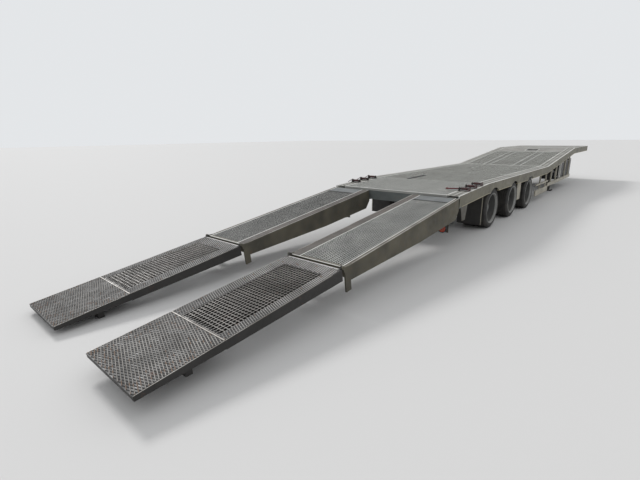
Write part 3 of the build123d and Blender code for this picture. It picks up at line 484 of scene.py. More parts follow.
def grating(shape, s0, s1, y0, y1, depth=MESH_DEPTH, pitch=MESH_PITCH):
    """Pressed grating: deep bars along the slope, and shallower ones across, just under their tops."""
    half = BAR_THICK / 2
    for y in spaced(y0, y1, pitch):
        shape.box((s0, y - half, -depth), (s1, y + half, 0))
    for s in spaced(s0, s1, pitch):
        shape.box((s - half, y0, -depth * 0.6), (s + half, y1, -0.001))


def clip_segment(start, end, low, high):
    """The part of a segment of (s, y) points inside a rectangle, or None where hardly any is left."""
    t0, t1 = 0.0, 1.0
    for axis in (0, 1):
        step = end[axis] - start[axis]
        for limit, sign in ((low[axis], -1), (high[axis], 1)):
            room = sign * (limit - start[axis])
            speed = sign * step
            if abs(speed) < 1e-12:
                if room < 0:
                    return None
            elif speed > 0:
                t1 = min(t1, room / speed)
            else:
                t0 = max(t0, room / speed)
    if t1 - t0 < SHORTEST_SHARE:
        return None
    return [tuple(start[k] + (end[k] - start[k]) * t for k in (0, 1)) for t in (t0, t1)]


def expanded_metal(shapes, draws, light_step, s0, s1, y0, y1, edge_rust=0.05):
    """Raised diamonds: lit strands one way, rustier near the edges, and sunk ones the other way painted
    near-black as painted shade.
    """
    plain, rusty, dark = shapes
    half_short, half_long = SHORT_WAY / 2, LONG_WAY / 2
    rows = math.ceil((s1 - s0) / half_short) + 1
    columns = math.ceil((y1 - y0) / half_long) + 1
    middle, half_span = (y0 + y1) / 2, (y1 - y0) / 2
    for i in range(-1, rows):
        for j in range(-1, columns):
            start = (s0 + i * half_short, y0 + j * half_long)
            step = 1 if (i + j) % 2 == 0 else -1
            end = (start[0] + step * half_short, start[1] + half_long)
            share = 0.02 + edge_rust * (abs(start[1] - middle) / half_span) ** 3
            share += edge_rust * max(0.0, 1 - (s1 - start[0]) / 0.2)
            shape = rusty if draws.random() < share else plain
            lift = STRAND_LIFT
            # Strands the other way take the near-black finish, painted shade for their side away from the
            # light
            if step != light_step:
                shape, lift = dark, STRAND_LIFT - STRAND_SINK
            kept = clip_segment(start, end, (s0, y0), (s1, y1))
            if kept:
                (a, b), (c, d) = kept
                shape.bar((a, b, lift), (c, d, lift), STRAND_WIDTH, STRAND_THICK, STRAND_LEAN, capped=False)


def square_holes(shape, length, y0, y1):
    """Plate with rows of square holes, made of strips beside them and bridges between them."""
    count = max(1, round(length / HOLE_PITCH))
    step = length / count
    half_bridge = (step - HOLE) / 2
    width = (y1 - y0) / HOLE_ROWS
    margin = (width - HOLE) / 2
    for row in range(HOLE_ROWS):
        low = y0 + row * width
        high = low + margin + HOLE
        shape.box((0, low, -STRIP_THICK), (length, low + margin, 0))
        shape.box((0, high, -STRIP_THICK), (length, low + width, 0))
        for i in range(count + 1):
            a = max(0, i * step - half_bridge)
            b = min(length, i * step + half_bridge)
            shape.box((a, low + margin, -STRIP_THICK), (b, high, 0))


def deck_gratings():
    """Three gratings in the deck's planes, in panels about a metre long, within frames of bars."""
    gap, bar = 0.004, 0.008
    for name, x0, x1 in (("tail", 0.0, MAIN_X), ("main", MAIN_X, NECK_X), ("neck", NECK_X, NECK_PLATE_X)):
        start, end = (x0, deck_z(x0)), (x1, deck_z(x1))
        shape = Shape(slope_frame(start, end))
        length = math.dist(start, end)
        panels = max(1, round(length))
        for i in range(panels):
            a = length * i / panels + gap
            b = length * (i + 1) / panels - gap
            grating(shape, a + 0.01, b - 0.01, -DECK_HALF + 0.02, DECK_HALF - 0.02)
            for s in (a, b - bar):
                shape.box((s, -DECK_HALF + bar, -EDGE_DEPTH), (s + bar, DECK_HALF - bar, 0))
        for y in (-DECK_HALF, DECK_HALF - bar):
            shape.box((0.002, y, -EDGE_DEPTH), (length - 0.002, y + bar, 0))
        # The tail's grating takes the lighter copy as a painted highlight of the glare there
        finish = finishes["tail_grating" if name == "tail" else "deck_grating"]
        shape.piece(f"deck_grating_{name}", "chassis", finish, [f"grating_{name}"])


def edge_rails():
    """Lashing strips with two rows of square holes along both edges of the deck."""
    for side, label in SIDES:
        for part, (start, end) in enumerate(zip(DECK_LINE, DECK_LINE[1:]), 1):
            inner, outer = DECK_HALF + 0.012, EDGE_OUTER - 0.022
            length = math.dist(start, end)
            nodes = ["edge_rails"] if part == 1 else []
            strip = Shape(slope_frame(start, end, side))
            square_holes(strip, length, inner, outer)
            strip.piece(f"lashing_strip_{part}_{label}", "chassis", finishes["edge_strip"], nodes)
            bars = Shape(slope_frame(start, end, side))
            bars.box((0, outer, -EDGE_DEPTH), (length, EDGE_OUTER, 0))
            bars.box((0, DECK_HALF + 0.001, -EDGE_DEPTH), (length, inner, 0))
            bars.piece(f"edge_bars_{part}_{label}", "chassis", finishes["bright_edge"], nodes)


def rail_lips():
    """Rounded lower lips of the side rails, between the wheel arches."""
    arches = [(x - ARCH_REACH, x + ARCH_REACH) for x in AXLE_XS]
    stops = [0.12, MAIN_X, *(x for arch in arches for x in arch), NECK_X, CREST_X, NOSE_X]
    outline = [(HALF_WIDTH - 0.038, 0), (HALF_WIDTH - 0.0005, 0), (HALF_WIDTH - 0.0005, -0.009),
               (HALF_WIDTH - 0.005, -0.014), (HALF_WIDTH - 0.033, -0.014), (HALF_WIDTH - 0.038, -0.009)]
    for side, label in SIDES:
        for part, (x0, x1) in enumerate(zip(stops, stops[1:]), 1):
            if (x0, x1) in arches:
                continue
            start, end = (x0, deck_z(x0) - RAIL_DEPTH), (x1, deck_z(x1) - RAIL_DEPTH)
            lip = Shape(slope_frame(start, end, side))
            lip.prism(outline, 0, math.dist(start, end), "x")
            lip.piece(f"rail_lip_{part}_{label}", "chassis", finishes["lip_paint"])


def neck_details():
    """Seams and the hand hole's frame on the neck's slope, bars across the deck, and a black sheet as painted
    shade in the deck's slot.
    """
    start, end = (NECK_X, DECK_Z), (CREST_X, NECK_Z)
    length = math.dist(start, end)
    stretch = length / (CREST_X - NECK_X)
    plate = (NECK_PLATE_X - NECK_X) * stretch
    edge = DECK_HALF - 0.01
    seams = Shape(slope_frame(start, end))
    for y in (-0.53, -0.33, 0.33, 0.53):
        seams.box((0.03, y - 0.011, 0), (plate, y + 0.011, 0.003))
    seams.box((plate, -edge, 0), (plate + 0.022, edge, 0.003))
    seams.box((length - 0.055, -edge, 0), (length - 0.03, edge, 0.002))
    low, high = (9.5 - NECK_X) * stretch, (9.86 - NECK_X) * stretch
    for a, b, c, d in ((low - 0.03, -0.26, high + 0.03, -0.23), (low - 0.03, 0.13, high + 0.03, 0.16),
                       (low - 0.03, -0.23, low, 0.13), (high, -0.23, high + 0.03, 0.13)):
        seams.box((a, b, 0), (c, d, 0.004))
    seams.piece("neck_seams", "chassis", finishes["seam_steel"])
    edge = DECK_HALF - 0.005
    bar = Shape(place_frame())
    for x0, x1, z in ((NECK_X - 0.02, NECK_X + 0.02, DECK_Z), (0.004, 0.03, TAIL_Z)):
        bar.box((x0, -edge, z - 0.002), (x1, edge, z + 0.004))
    bar.piece("deck_cross_bar", "chassis", finishes["bright_edge"], bevel=0.0015)
    # Painted shade: a black sheet where the deck's slot looks dark
    slot = Shape(place_frame())
    corners = [(1.35, 0.34), (2.2, 0.385), (2.2, 0.475), (1.35, 0.43)]
    slot.prism(corners, DECK_Z - 0.001, DECK_Z + 0.003, "z")
    slot.piece("deck_slot_shade", "chassis", finishes["gap_shade_black"])


def ratchet_wheel(centre_x, centre_z, radius, teeth):
    """Outline of a wheel with slanted teeth."""
    points = []
    for i in range(teeth):
        angle = 2 * math.pi * i / teeth
        for turn, reach in ((0.0, 1.0), (0.05, 0.78)):
            a = angle + turn * 2 * math.pi / teeth
            points.append((centre_x + radius * reach * math.cos(a), centre_z + radius * reach * math.sin(a)))
    return points


def winches():
    """Lashing winches on both edge strips of the tail, three a side, with one red handle."""
    winch_xs, axle_rise = (0.5, 0.8, 1.1), 0.036
    for side, label in SIDES:
        shape = Shape(place_frame(0, side))
        drums = Shape(place_frame(0, side))
        for x in winch_xs:
            z = deck_z(x)
            axle_z = z + axle_rise
            shape.box((x - 0.05, 1.045, z - 0.004), (x + 0.05, 1.24, z + 0.005))
            cheek = [(x - 0.045, z), (x + 0.045, z), (x + 0.036, axle_z), (x + 0.014, z + 0.062),
                     (x - 0.014, z + 0.062), (x - 0.04, z + 0.032)]
            for y in (1.055, 1.218):
                shape.prism(cheek, y, y + 0.006)
            shape.rod((x, 1.04, axle_z), (x, 1.25, axle_z), 0.012, 12)
            drums.rod((x, 1.085, axle_z), (x, 1.2, axle_z), 0.022, 20)
            drums.prism(ratchet_wheel(x, axle_z, 0.032, 14), 1.234, 1.242)
            drums.bar((x - 0.02, 1.246, z + 0.05), (x - 0.13, 1.25, z + 0.016), 0.014, 0.008)
        shape.piece(f"lashing_winches_{label}", "chassis", finishes["winch_black"], bevel=0.001)
        drums.piece(f"winch_drums_{label}", "chassis", finishes["winch_red"], bevel=0.0005)
    handle = Shape(place_frame(0, -1))
    z = deck_z(winch_xs[0]) + axle_rise
    handle.rod((0.485, 0.85, z - 0.012), (0.51, 1.13, z), 0.011, 12)
    handle.rod((0.482, 0.82, z - 0.013), (0.486, 0.86, z - 0.011), 0.015, 12)
    handle.piece("winch_handle", "chassis", finishes["ratchet_red"], smooth=True)


def ramp_gratings(place, label):
    """Gratings of both ramp sections, and the lower one's last row over the gap before the toe."""
    on_upper, on_lower = f"upper_ramp_{label}", f"lower_ramp_{label}"
    upper = Shape(place)
    grating(upper, HEAD_PLATE, UPPER_END - 0.05, *UPPER_MESH)
    # The left ramp takes the darker copy of the grating as painted shade; the right one keeps the lit colour
    finish = finishes["shaded_grating" if label == "left" else "upper_grating"]
    upper.piece(f"upper_mesh_{label}", on_upper, finish, [f"ramp_upper_grating_{label}"])
    lower = Shape(place)
    finish = finishes["lower_grating"]
    grating(lower, LOWER_START + 0.2, TOE_S - 0.04, *LOWER_MESH, LOWER_MESH_DEPTH, LOWER_MESH_PITCH)
    lower.piece(f"lower_mesh_{label}", on_lower, finish, [f"ramp_lower_grating_{label}"])
    half, last, low, high = BAR_THICK / 2, TOE_S - 0.014, 0.0015, 0.003
    row = Shape(place)
    for y in spaced(*LOWER_MESH, LOWER_MESH_PITCH):
        row.box((TOE_S - 0.043, y - half, low), (last, y + half, high))
    row.box((last - BAR_THICK, LOWER_MESH[0], low), (last, LOWER_MESH[1], high))
    row.piece(f"lower_mesh_end_{label}", on_lower, finish)


def ramp_trims(place, label):
    """Thin plates and bars on a ramp's surface, and black sheets in its gaps as painted shade."""
    (upper_low, upper_high), (lower_low, lower_high) = UPPER_MESH, LOWER_MESH
    # Columns: name, section, finish, bevel, and boxes as s from and to, y from and to, z from and to
    trims = (
        ("head_plate", "upper", "head_plate", 0.0015,
         [(0.02, HEAD_PLATE - 0.03, upper_low + 0.014, upper_high - 0.014, 0, 0.004)]),
        # Black sheet in the gap round the head plate: painted shade
        ("head_seam", "upper", "gap_shade_black", 0.0,
         [(HEAD_PLATE - 0.03, HEAD_PLATE - 0.004, upper_low + 0.008, upper_high - 0.008, -0.001, 0.002)]),
        ("inner_band", "upper", "ramp_band", 0.001,
         [(0.012, UPPER_END - 0.012, RAMP_INNER + 0.024, upper_low - 0.012, 0, 0.003)]),
        ("upper_edge_bars", "upper", "bright_edge", 0.0,
         [(0.01, UPPER_END, upper_low - 0.006, upper_low + 0.006, -0.002, 0.003),
          (0.01, UPPER_END, upper_high - 0.006, upper_high + 0.006, -0.002, 0.003),
          (UPPER_END - 0.012, UPPER_END - 0.002, RAMP_INNER + 0.03, RAMP_OUTER - 0.03, 0, 0.003)]),
        ("upper_rims", "upper", "worn_bar", 0.0,
         [(0.01, UPPER_END - 0.13, RAMP_INNER + 0.002, RAMP_INNER + 0.014, 0, 0.004),
          (0.01, UPPER_END - 0.13, RAMP_OUTER - 0.014, RAMP_OUTER - 0.002, 0, 0.004)]),
        ("fold_edge", "lower", "bright_edge", 0.0,
         [(LOWER_START + 0.002, LOWER_START + 0.012, RAMP_INNER + 0.04, RAMP_OUTER - 0.04, 0, 0.004)]),
        # Black sheet in the gap before the toe: painted shade
        ("toe_gap", "lower", "gap_shade_black", 0.0,
         [(TOE_S - 0.045, TOE_S - 0.007, lower_low - 0.004, lower_high + 0.004, -0.001, 0.002)]),
        ("toe_joint_bar", "lower", "worn_bar", 0.001,
         [(TOE_S - 0.006, TOE_S + 0.006, RAMP_INNER + 0.006, RAMP_OUTER - 0.006, 0, 0.006),
          (LOWER_START + 0.16, RAMP_LENGTH - 0.004, RAMP_INNER + 0.001, RAMP_INNER + 0.006, 0, 0.003),
          (LOWER_START + 0.16, RAMP_LENGTH - 0.004, RAMP_OUTER - 0.006, RAMP_OUTER - 0.001, 0, 0.003)]),
    )
    for name, section, finish, bevel, spans in trims:
        shape = Shape(place)
        for s0, s1, y0, y1, z0, z1 in spans:
            shape.box((s0, y0, z0), (s1, y1, z1))
        shape.piece(f"{name}_{label}", f"{section}_ramp_{label}", finishes[finish], bevel=bevel)


def ramp_mesh(place, label, draws):
    """Expanded metal round the lower grating and on the toe."""
    light_step = -1 if label == "left" else 1
    first, last = LOWER_START + 0.014, TOE_S - 0.012
    strips = ((first, last, RAMP_INNER + 0.01, LOWER_MESH[0] - 0.01),
              (first, last, LOWER_MESH[1] + 0.01, RAMP_OUTER - 0.01),
              (first, LOWER_START + 0.19, *LOWER_MESH))
    toe = (TOE_S + 0.012, RAMP_LENGTH - 0.006, RAMP_INNER + 0.008, RAMP_OUTER - 0.008, 0.3)
    meshes = (("lower_strips", strips, "strip_strand"), ("toe_mesh", (toe,), "mesh_strand"))
    for name, spans, strand in meshes:
        shapes = (Shape(place), Shape(place), Shape(place))
        for span in spans:
            expanded_metal(shapes, draws, light_step, *span)
        for shape, kind in zip(shapes, ("strand", "rust", "dark")):
            finish = finishes[strand if kind == "strand" else f"mesh_{kind}"]
            shape.piece(f"{name}_{kind}_{label}", f"lower_ramp_{label}", finish)


def ramp_surfaces():
    """Gratings, trims and expanded metal of both ramps."""
    draws = random.Random(7)
    for side, label in SIDES:
        place = ramp_frame(side)
        ramp_gratings(place, label)
        ramp_trims(place, label)
        ramp_mesh(place, label, draws)


def tyre_profile():
    """Cross-section of a tyre: bead, bulged wall, shoulder and grooved tread, as (radius, offset)."""
    half = TYRE_WIDTH / 2
    wall = [(0.292, -half + 0.02), (0.3, -half + 0.006), (0.33, -half), (0.352, -half + 0.003),
            (0.355, -half + 0.006), (0.372, -half + 0.012), (0.388, -half + 0.024), (0.394, -half + 0.034)]
    tread = []
    for centre in (-0.06, -0.02, 0.02, 0.06):
        tread += [(TYRE_RADIUS, centre - 0.006), (TYRE_RADIUS - 0.012, centre - 0.004),
                  (TYRE_RADIUS - 0.012, centre + 0.004), (TYRE_RADIUS, centre + 0.006)]
    mirrored = [(r, -offset) for r, offset in wall[::-1]]
    return wall + tread + mirrored


def rim_profile(middle, sign, disc):
    """Cross-section of a rim: bead seats about its middle, and its disc at the hub's face."""
    bead = [(0.291, RIM_REACH), (0.298, RIM_REACH - 0.002), (0.298, RIM_REACH - 0.01),
            (0.284, RIM_REACH - 0.014), (0.272, 0.03)]
    face = [(0.272, 0.05), (0.25, 0.03), *disc, (0.26, 0.0), (0.28, 0.02)]
    back = [(0.284, -RIM_REACH), (0.286, 0.0)]
    parts = ((bead, middle), (face, HUB_Y), (back, middle))
    return [(radius, start + sign * offset) for part, start in parts for radius, offset in part]


def wheels():
    """Tyres, rims, hubs and wheel nuts of the six twin wheels."""
    centre = (0, 0, TYRE_RADIUS)
    nut_count, nut_circle = 10, 0.1425
    hub = ((0.0, -0.14), (0.13, -0.14), (0.13, 0.02), (0.17, 0.02), (0.17, 0.032), (0.12, 0.036),
           (0.115, 0.085), (0.09, 0.1), (0.08, 0.155), (0.066, 0.163), (0.0, 0.165))
    drum = [(0.06, 0.74), (0.205, 0.74), (0.205, HUB_Y - 0.06), (0.06, HUB_Y - 0.06)]
    lip = ((0.27, -0.035), (0.279, -0.034), (0.287, -0.012), (0.2985, -0.009), (0.2985, 0.001),
           (0.29, 0.002), (0.274, -0.018))
    for number, x in enumerate(AXLE_XS, 1):
        for side, label in SIDES:
            body = f"wheel_{number}_{label}"
            tyres = Shape(place_frame(x, side))
            for y in (INNER_TYRE_Y, OUTER_TYRE_Y):
                tyres.lathe(tyre_profile(), (0, y, TYRE_RADIUS), 96)
            tyres.piece(f"road_tyres_{number}_{label}", body, finishes["tyre_rubber"],
                        [f"tyres_{number}_{label}"], smooth=True)
            rims = Shape(place_frame(x, side))
            rims.lathe(rim_profile(OUTER_TYRE_Y, 1, [(0.2, 0.012), (0.17, 0.02), (0.17, 0.005)]), centre, 64)
            rims.lathe(rim_profile(INNER_TYRE_Y, -1, [(0.17, 0.012), (0.17, 0.001)]), centre, 64)
            rims.lathe([(radius, HUB_Y + offset) for radius, offset in hub], centre, 48)
            rims.lathe(drum, centre, 48)
            rims.piece(f"twin_rims_{number}_{label}", body, finishes["rim_paint"],
                       [f"rims_{number}_{label}"], smooth=True)
            lips = Shape(place_frame(x, side))
            for edge, sign in ((OUTER_TYRE_Y + RIM_REACH, 1), (INNER_TYRE_Y - RIM_REACH, -1)):
                lips.lathe([(radius, edge + sign * offset) for radius, offset in lip], centre, 64)
            lips.piece(f"rim_lips_{number}_{label}", body, finishes["rim_lip"], smooth=True)
            nuts = Shape(place_frame(x, side))
            for i in range(nut_count):
                angle = 2 * math.pi * (i + 0.5) / nut_count
                nut_x, nut_z = nut_circle * math.cos(angle), TYRE_RADIUS + nut_circle * math.sin(angle)
                nuts.rod((nut_x, HUB_Y + 0.03, nut_z), (nut_x, HUB_Y + 0.058, nut_z), 0.016, 6)
                nuts.rod((nut_x, HUB_Y + 0.05, nut_z), (nut_x, HUB_Y + 0.075, nut_z), 0.0105, 10)
            nuts.piece(f"wheel_nuts_{number}_{label}", body, finishes["bare_steel"])


def bellows():
    """Air springs as bellows of two lobes with clamping rings, between a lower and an upper plate."""
    low, high = SPRING_SEAT, BEAM_BOTTOM
    plate, steps = 0.012, 28
    lobes = []
    for i in range(steps + 1):
        share = i / steps
        radius = 0.094 + 0.03 * abs(math.sin(2 * math.pi * share)) ** 0.7
        lobes.append((radius, low + plate + share * (high - low - 2 * plate)))
    waist = (low + high) / 2
    lower_plate = [(0.0, low), (0.1, low), (0.104, low + 0.013), (0.0, low + 0.013)]
    upper_plate = [(0.0, high - 0.013), (0.104, high - 0.013), (0.1, high), (0.0, high)]
    ring = [(0.09, waist - 0.008), (0.101, waist - 0.008), (0.101, waist + 0.008), (0.09, waist + 0.008)]
    for side, label in SIDES:
        rubber = Shape(place_frame(0, side))
        plates = Shape(place_frame(0, side))
        for x in AXLE_XS:
            centre = (x - SPRING_BEHIND, BEAM_Y, 0)
            rubber.lathe([(0.0, low + plate), *lobes, (0.0, high - plate)], centre, 40, "z")
            for profile in (lower_plate, upper_plate, ring):
                plates.lathe(profile, centre, 40, "z")
        nodes = ["air_springs"]
        rubber.piece(f"bellows_{label}", "chassis", finishes["bellows_rubber"], nodes, smooth=True)
        plates.piece(f"bellows_plates_{label}", "chassis", finishes["black_paint"], nodes, smooth=True)


def tanks():
    """Round shells with domed ends over the air tanks, with clamping bands and a drain."""
    (x0, x1), (y, z), r = TANK, TANK_YZ, TANK_RADIUS
    dome = [(r * math.cos(a), 0.05 * math.sin(a)) for a in (math.pi / 2 * i / 8 for i in range(9))]
    profile = [(radius, x0 + 0.046 - offset) for radius, offset in dome[::-1]]
    profile += [(radius, x1 - 0.046 + offset) for radius, offset in dome]
    for side, label in SIDES:
        shell = Shape(place_frame(0, side))
        shell.lathe(profile, (0, y, z), 48, "x")
        shell.piece(f"tank_shell_{label}", "chassis", finishes["tank_paint"], smooth=True)
        bands = Shape(place_frame(0, side))
        for x in (6.512, 7.192):
            bands.lathe([(r, x - 0.018), (r + 0.004, x - 0.018), (r + 0.004, x + 0.018), (r, x + 0.018)],
                        (0, y, z), 48, "x")
            bands.box((x - 0.012, y - r - 0.012, z - 0.02), (x + 0.012, y - r + 0.002, z + 0.02))
        for x in (x0 + 0.05, x1 - 0.05):
            bands.lathe([(r - 0.002, x - 0.004), (r + 0.0015, x - 0.004), (r + 0.0015, x + 0.004),
                         (r - 0.002, x + 0.004)], (0, y, z), 48, "x")
        bands.rod(((x0 + x1) / 2, y, z - r - 0.022), ((x0 + x1) / 2, y, z - r + 0.004), 0.012, 8)
        bands.piece(f"tank_bands_{label}", "chassis", finishes["black_paint"], smooth=True)


def boxes():
    """Doors, hinges, latches and bright corner strips on the storage boxes."""
    (x0, x1), (z0, z1) = BOX_SPAN, BOX_HEIGHTS
    middle = (x0 + x1) / 2
    doorways = ((x0 + 0.02, middle - 0.012), (middle + 0.012, x1 - 0.02))
    hinge_y, hinge_z = BOX_FACE + 0.004, z0 + 0.022
    grip_y, grip_z = BOX_FACE + 0.013, z1 - 0.052
    back, front = BOX_FACE + 0.003, BOX_FACE + 0.009
    for side, label in SIDES:
        doors = Shape(place_frame(0, side))
        for a, b in doorways:
            doors.box((a, BOX_FACE - 0.002, z0 + 0.03), (b, BOX_FACE + 0.005, z1 - 0.03))
            doors.box((a + 0.07, BOX_FACE + 0.004, z0 + 0.1), (b - 0.07, BOX_FACE + 0.008, z1 - 0.1))
        doors.piece(f"box_doors_{label}", "chassis", finishes["box_black"], bevel=0.0015)
        metal = Shape(place_frame(0, side))
        for a, b in doorways:
            for x in (a + 0.16, b - 0.16):
                metal.box((x - 0.03, back, z1 - 0.06), (x + 0.03, front, z1 - 0.035))
                metal.rod((x - 0.035, hinge_y, hinge_z), (x + 0.035, hinge_y, hinge_z), 0.004, 12)
            grip = (a + b) / 2 - 0.14
            metal.box((grip - 0.045, back, z1 - 0.075), (grip + 0.045, front, z1 - 0.03))
            metal.rod((grip - 0.03, grip_y, grip_z), (grip + 0.03, grip_y, grip_z), 0.006, 10)
        metal.piece(f"box_latches_{label}", "chassis", finishes["seam_steel"], bevel=0.001)
        corner = Shape(place_frame(0, side))
        corner.box((x0 - 0.006, BOX_FACE - 0.05, z0), (x0 + 0.03, BOX_FACE + 0.006, z1))
        corner.box((x0 + 0.03, BOX_FACE - 0.05, z0 - 0.004), (x0 + 0.5, BOX_FACE + 0.006, z0 + 0.022))
        corner.piece(f"box_corner_{label}", "chassis", finishes["bright_edge"], bevel=0.002)


def leg_details():
    """Folding crank of the landing legs on the right, and collars, hole rims and foot bolts on both."""
    crank = Shape(place_frame(LEG_X, -1))
    crank.rod((0, LEG_FACE - 0.02, CRANK_Z), (0, LEG_FACE + 0.09, CRANK_Z), 0.015, 12)
    crank.rod((0, LEG_FACE + 0.075, CRANK_Z + 0.02), (0, LEG_FACE + 0.082, CRANK_Z - 0.17), 0.012, 12)
    crank.rod((0, LEG_FACE + 0.07, CRANK_Z - 0.16), (0, LEG_FACE + 0.15, CRANK_Z - 0.16), 0.014, 12)
    crank.lathe([(0.016, LEG_FACE - 0.004), (0.045, LEG_FACE - 0.004), (0.04, LEG_FACE + 0.03),
                 (0.016, LEG_FACE + 0.034)], (0, 0, CRANK_Z), 24)
    crank.piece("leg_crank", "chassis", finishes["bare_steel"], smooth=True)
    for side, label in SIDES:
        trim = Shape(place_frame(LEG_X, side))
        y = LEG_FACE - 0.075
        trim.box((-0.082, y - 0.082, 0.48), (0.082, y + 0.082, 0.5))
        for i in range(5):
            trim.rod((-0.062, y - 0.02, 0.12 + i * 0.07), (-0.058, y - 0.02, 0.12 + i * 0.07), 0.012, 10)
        for a in (-0.12, 0.12):
            for b in (-0.095, 0.095):
                trim.rod((a, y + b, 0.018), (a, y + b, 0.034), 0.014, 6)
        trim.piece(f"leg_trim_{label}", "chassis", finishes["black_paint"])


def flap_trims():
    """Edge strip and clamping bar with bolts on the rear face of each mud flap."""
    rear, inner, outer = FLAP
    bottom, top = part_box("mud_flaps")[0].z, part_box("mud_flaps")[1].z - FLAP_BAR
    for side, label in SIDES:
        strip = Shape(place_frame(0, side))
        strip.box((rear - 0.005, outer - 0.016, bottom + 0.01), (rear, outer - 0.003, top - 0.05))
        strip.piece(f"flap_edge_{label}", "chassis", finishes["guard_steel"], bevel=0.001)
        clamp = Shape(place_frame(0, side))
        clamp.box((rear - 0.006, inner + 0.01, top - 0.045), (rear, outer - 0.003, top - 0.005))
        for i in range(4):
            y = inner + 0.06 + i * (outer - inner - 0.12) / 3
            clamp.rod((rear - 0.014, y, top - 0.025), (rear - 0.006, y, top - 0.025), 0.011, 6)
        clamp.piece(f"flap_clamp_{label}", "chassis", finishes["black_paint"], bevel=0.001)


def lamps():
    """Round red lenses with rims on the rear lamps."""
    (y, z), back = LAMP_YZ, LAMP_BACK
    for side, label in SIDES:
        lens = Shape(place_frame(0, side))
        dome = [(0.062 * math.cos(a), back - 0.004 - 0.014 * math.sin(a)) for a in
                (math.pi / 2 * i / 6 for i in range(7))]
        lens.lathe([*dome, (0.0, back - 0.001), (0.062, back - 0.001)], (0, y, z), 40, "x")
        for ring in (0.02, 0.042):
            lens.lathe([(ring, back - 0.02), (ring + 0.005, back - 0.02), (ring + 0.005, back - 0.004),
                        (ring, back - 0.004)], (0, y, z), 40, "x")
        lens.piece(f"lamp_lens_{label}", "chassis", finishes["red_lens"], smooth=True)
        rim = Shape(place_frame(0, side))
        rim.lathe([(0.061, back - 0.009), (0.073, back - 0.009), (0.0745, back), (0.0745, 0.006),
                   (0.066, 0.008), (0.061, back - 0.002)], (0, y, z), 40, "x")
        rim.piece(f"lamp_rim_{label}", "chassis", finishes["box_black"], smooth=True)


def lift_details():
    """Smooth cylinder barrels with glands, and the heads of the pins at levers and hinges."""
    (x0, x1), (y, z) = BARREL, BARREL_YZ
    hinge_x, hinge_z = HINGE
    eye_x = hinge_x + LEVER_ARM * math.cos(LEVER_ANGLE)
    eye_z = hinge_z + LEVER_ARM * math.sin(LEVER_ANGLE)
    for side, label in SIDES:
        barrel = Shape(place_frame(0, side))
        barrel.lathe([(0.0262, x0 - 0.004), (0.044, x0 - 0.004), (0.0525, x0 + 0.006), (0.0525, x0 + 0.05),
                      (0.049, x0 + 0.054), (0.049, x1 - 0.006), (0.044, x1 + 0.002), (0.0262, x1 - 0.02)],
                     (0, y, z), 40, "x")
        for x in (x0 + 0.12, x1 - 0.08):
            barrel.rod((x, y, z + 0.045), (x, y, z + 0.068), 0.012, 8)
        barrel.piece(f"barrel_shell_{label}", "chassis", finishes["black_paint"], smooth=True)
        heads = Shape(place_frame(0, side))
        for hinge_y in HINGE_YS:
            for head_y in (hinge_y - 0.0735, hinge_y + 0.0625):
                heads.rod((hinge_x, head_y, hinge_z), (hinge_x, head_y + 0.011, hinge_z), 0.021, 6)
        heads.piece(f"hinge_pin_heads_{label}", "chassis", finishes["bare_steel"], bevel=0.001)
        lever = Shape(ramp_turn(side) @ place_frame(0, side))
        for head_y in (y - 0.063, y + 0.0525):
            lever.rod((eye_x, head_y, eye_z), (eye_x, head_y + 0.0105, eye_z), 0.024, 16)
        lever.piece(f"lever_pin_heads_{label}", f"upper_ramp_{label}", finishes["bare_steel"], smooth=True)


NODE_FINISHES = {
    "frame_beams": "frame_paint", "cross_members": "frame_paint", "side_rails": "rail_paint",
    "rear_beam": "rear_paint", "neck_plate": "neck_paint", "coupling_plate": "frame_paint",
    "kingpin": "bare_steel", "landing_legs": "black_paint", "axles": "black_paint",
    "trailing_arms": "black_paint", "suspension_hangers": "frame_paint", "air_springs": "bellows_rubber",
    "storage_boxes": "box_black", "air_tanks": "tank_paint", "side_guards": "guard_steel",
    "guard_boards": "guard_steel", "mud_flaps": "flap_rubber", "rear_lamps": "bracket_paint",
    "lift_barrels": "black_paint", "lift_brackets": "frame_paint",
}
SIDE_FINISHES = {"ramp_upper_frame": "ramp_paint", "ramp_lower_frame": "ramp_dark", "ramp_toe": "ramp_dark",
                 "lift_rod": "chrome_rod"}


def paint_nodes():
    """Gives the frame's own nodes their finishes."""
    named = dict(NODE_FINISHES)
    for name, finish in SIDE_FINISHES.items():
        for _, label in SIDES:
            named[f"{name}_{label}"] = finish
    for node, finish in named.items():
        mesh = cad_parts[node].data
        mesh.materials.clear()
        mesh.materials.append(finishes[finish])


# Camera: eye position, turn from +X towards +Y, pitch and roll in degrees, focal length in pixels
EYE = (-6.122, -3.614, 1.801)
TURN, PITCH, ROLL = 41.146, -15.062, -0.721
FOCAL_PIXELS = 384.74
PICTURE_WIDTH = 640
SENSOR_WIDTH = 36.0


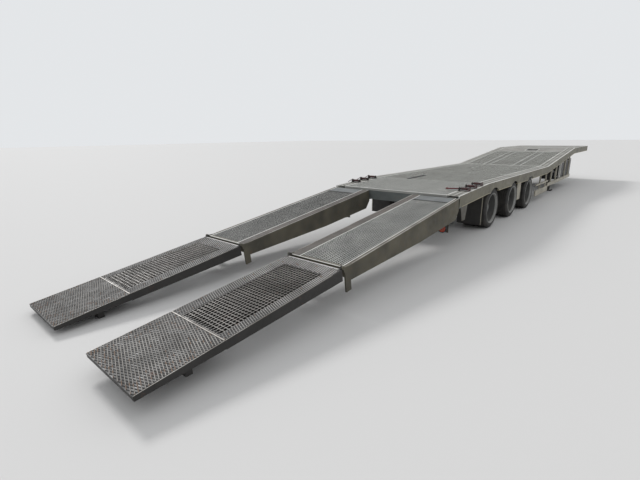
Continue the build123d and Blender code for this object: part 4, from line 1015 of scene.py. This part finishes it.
def camera():
    """Camera at the photograph's place and angle."""
    turn, pitch, roll = (math.radians(a) for a in (TURN, PITCH, ROLL))
    ahead = Vector((math.cos(turn) * math.cos(pitch), math.sin(turn) * math.cos(pitch), math.sin(pitch)))
    right = Vector((math.sin(turn), -math.cos(turn), 0))
    up = right.cross(ahead)
    rolled_right = right * math.cos(roll) + up * math.sin(roll)
    rolled_up = up * math.cos(roll) - right * math.sin(roll)
    data = bpy.data.cameras.new("camera")
    data.sensor_width = SENSOR_WIDTH
    data.lens = SENSOR_WIDTH * FOCAL_PIXELS / PICTURE_WIDTH
    eye = bpy.data.objects.new("camera", data)
    bpy.context.scene.collection.objects.link(eye)
    axes = Matrix((rolled_right, rolled_up, -ahead)).transposed().to_4x4()
    eye.matrix_world = Matrix.Translation((along(EYE[0]), EYE[1], EYE[2])) @ axes
    bpy.context.scene.camera = eye


def stage():
    """Pale floor that keeps the shadow."""
    mesh = bpy.data.meshes.new("floor")
    far = 120.0
    mesh.from_pydata([(-far, -far, 0), (far, -far, 0), (far, far, 0), (-far, far, 0)], [], [(0, 1, 2, 3)])
    floor = bpy.data.objects.new("floor", mesh)
    bpy.context.scene.collection.objects.link(floor)
    finish = Finish("floor", 0.9)
    finish.colour((0.62, 0.61, 0.6))
    mesh.materials.append(finish.material)


def lights():
    """Soft sun from ahead and to the left, and a pale sky all round."""
    azimuth, height, softness = (math.radians(a) for a in (78, 36, 14))
    sun = bpy.data.lights.new("sun", "SUN")
    sun.energy = 1.7
    sun.angle = softness
    lamp = bpy.data.objects.new("sun", sun)
    bpy.context.scene.collection.objects.link(lamp)
    level = math.cos(height)
    towards = Vector((math.cos(azimuth) * level, math.sin(azimuth) * level, math.sin(height)))
    lamp.rotation_mode = "QUATERNION"
    lamp.rotation_quaternion = towards.to_track_quat("Z", "Y")
    world = bpy.data.worlds.new("world")
    world.use_nodes = True
    background = world.node_tree.nodes["Background"]
    background.inputs["Color"].default_value = (0.86, 0.88, 0.9, 1)
    background.inputs["Strength"].default_value = 0.9
    bpy.context.scene.world = world
    bpy.context.scene.view_settings.view_transform = "Standard"


deck_gratings()
edge_rails()
rail_lips()
neck_details()
winches()
ramp_surfaces()
wheels()
bellows()
tanks()
boxes()
leg_details()
flap_trims()
lamps()
lift_details()
paint_nodes()
camera()
stage()
lights()
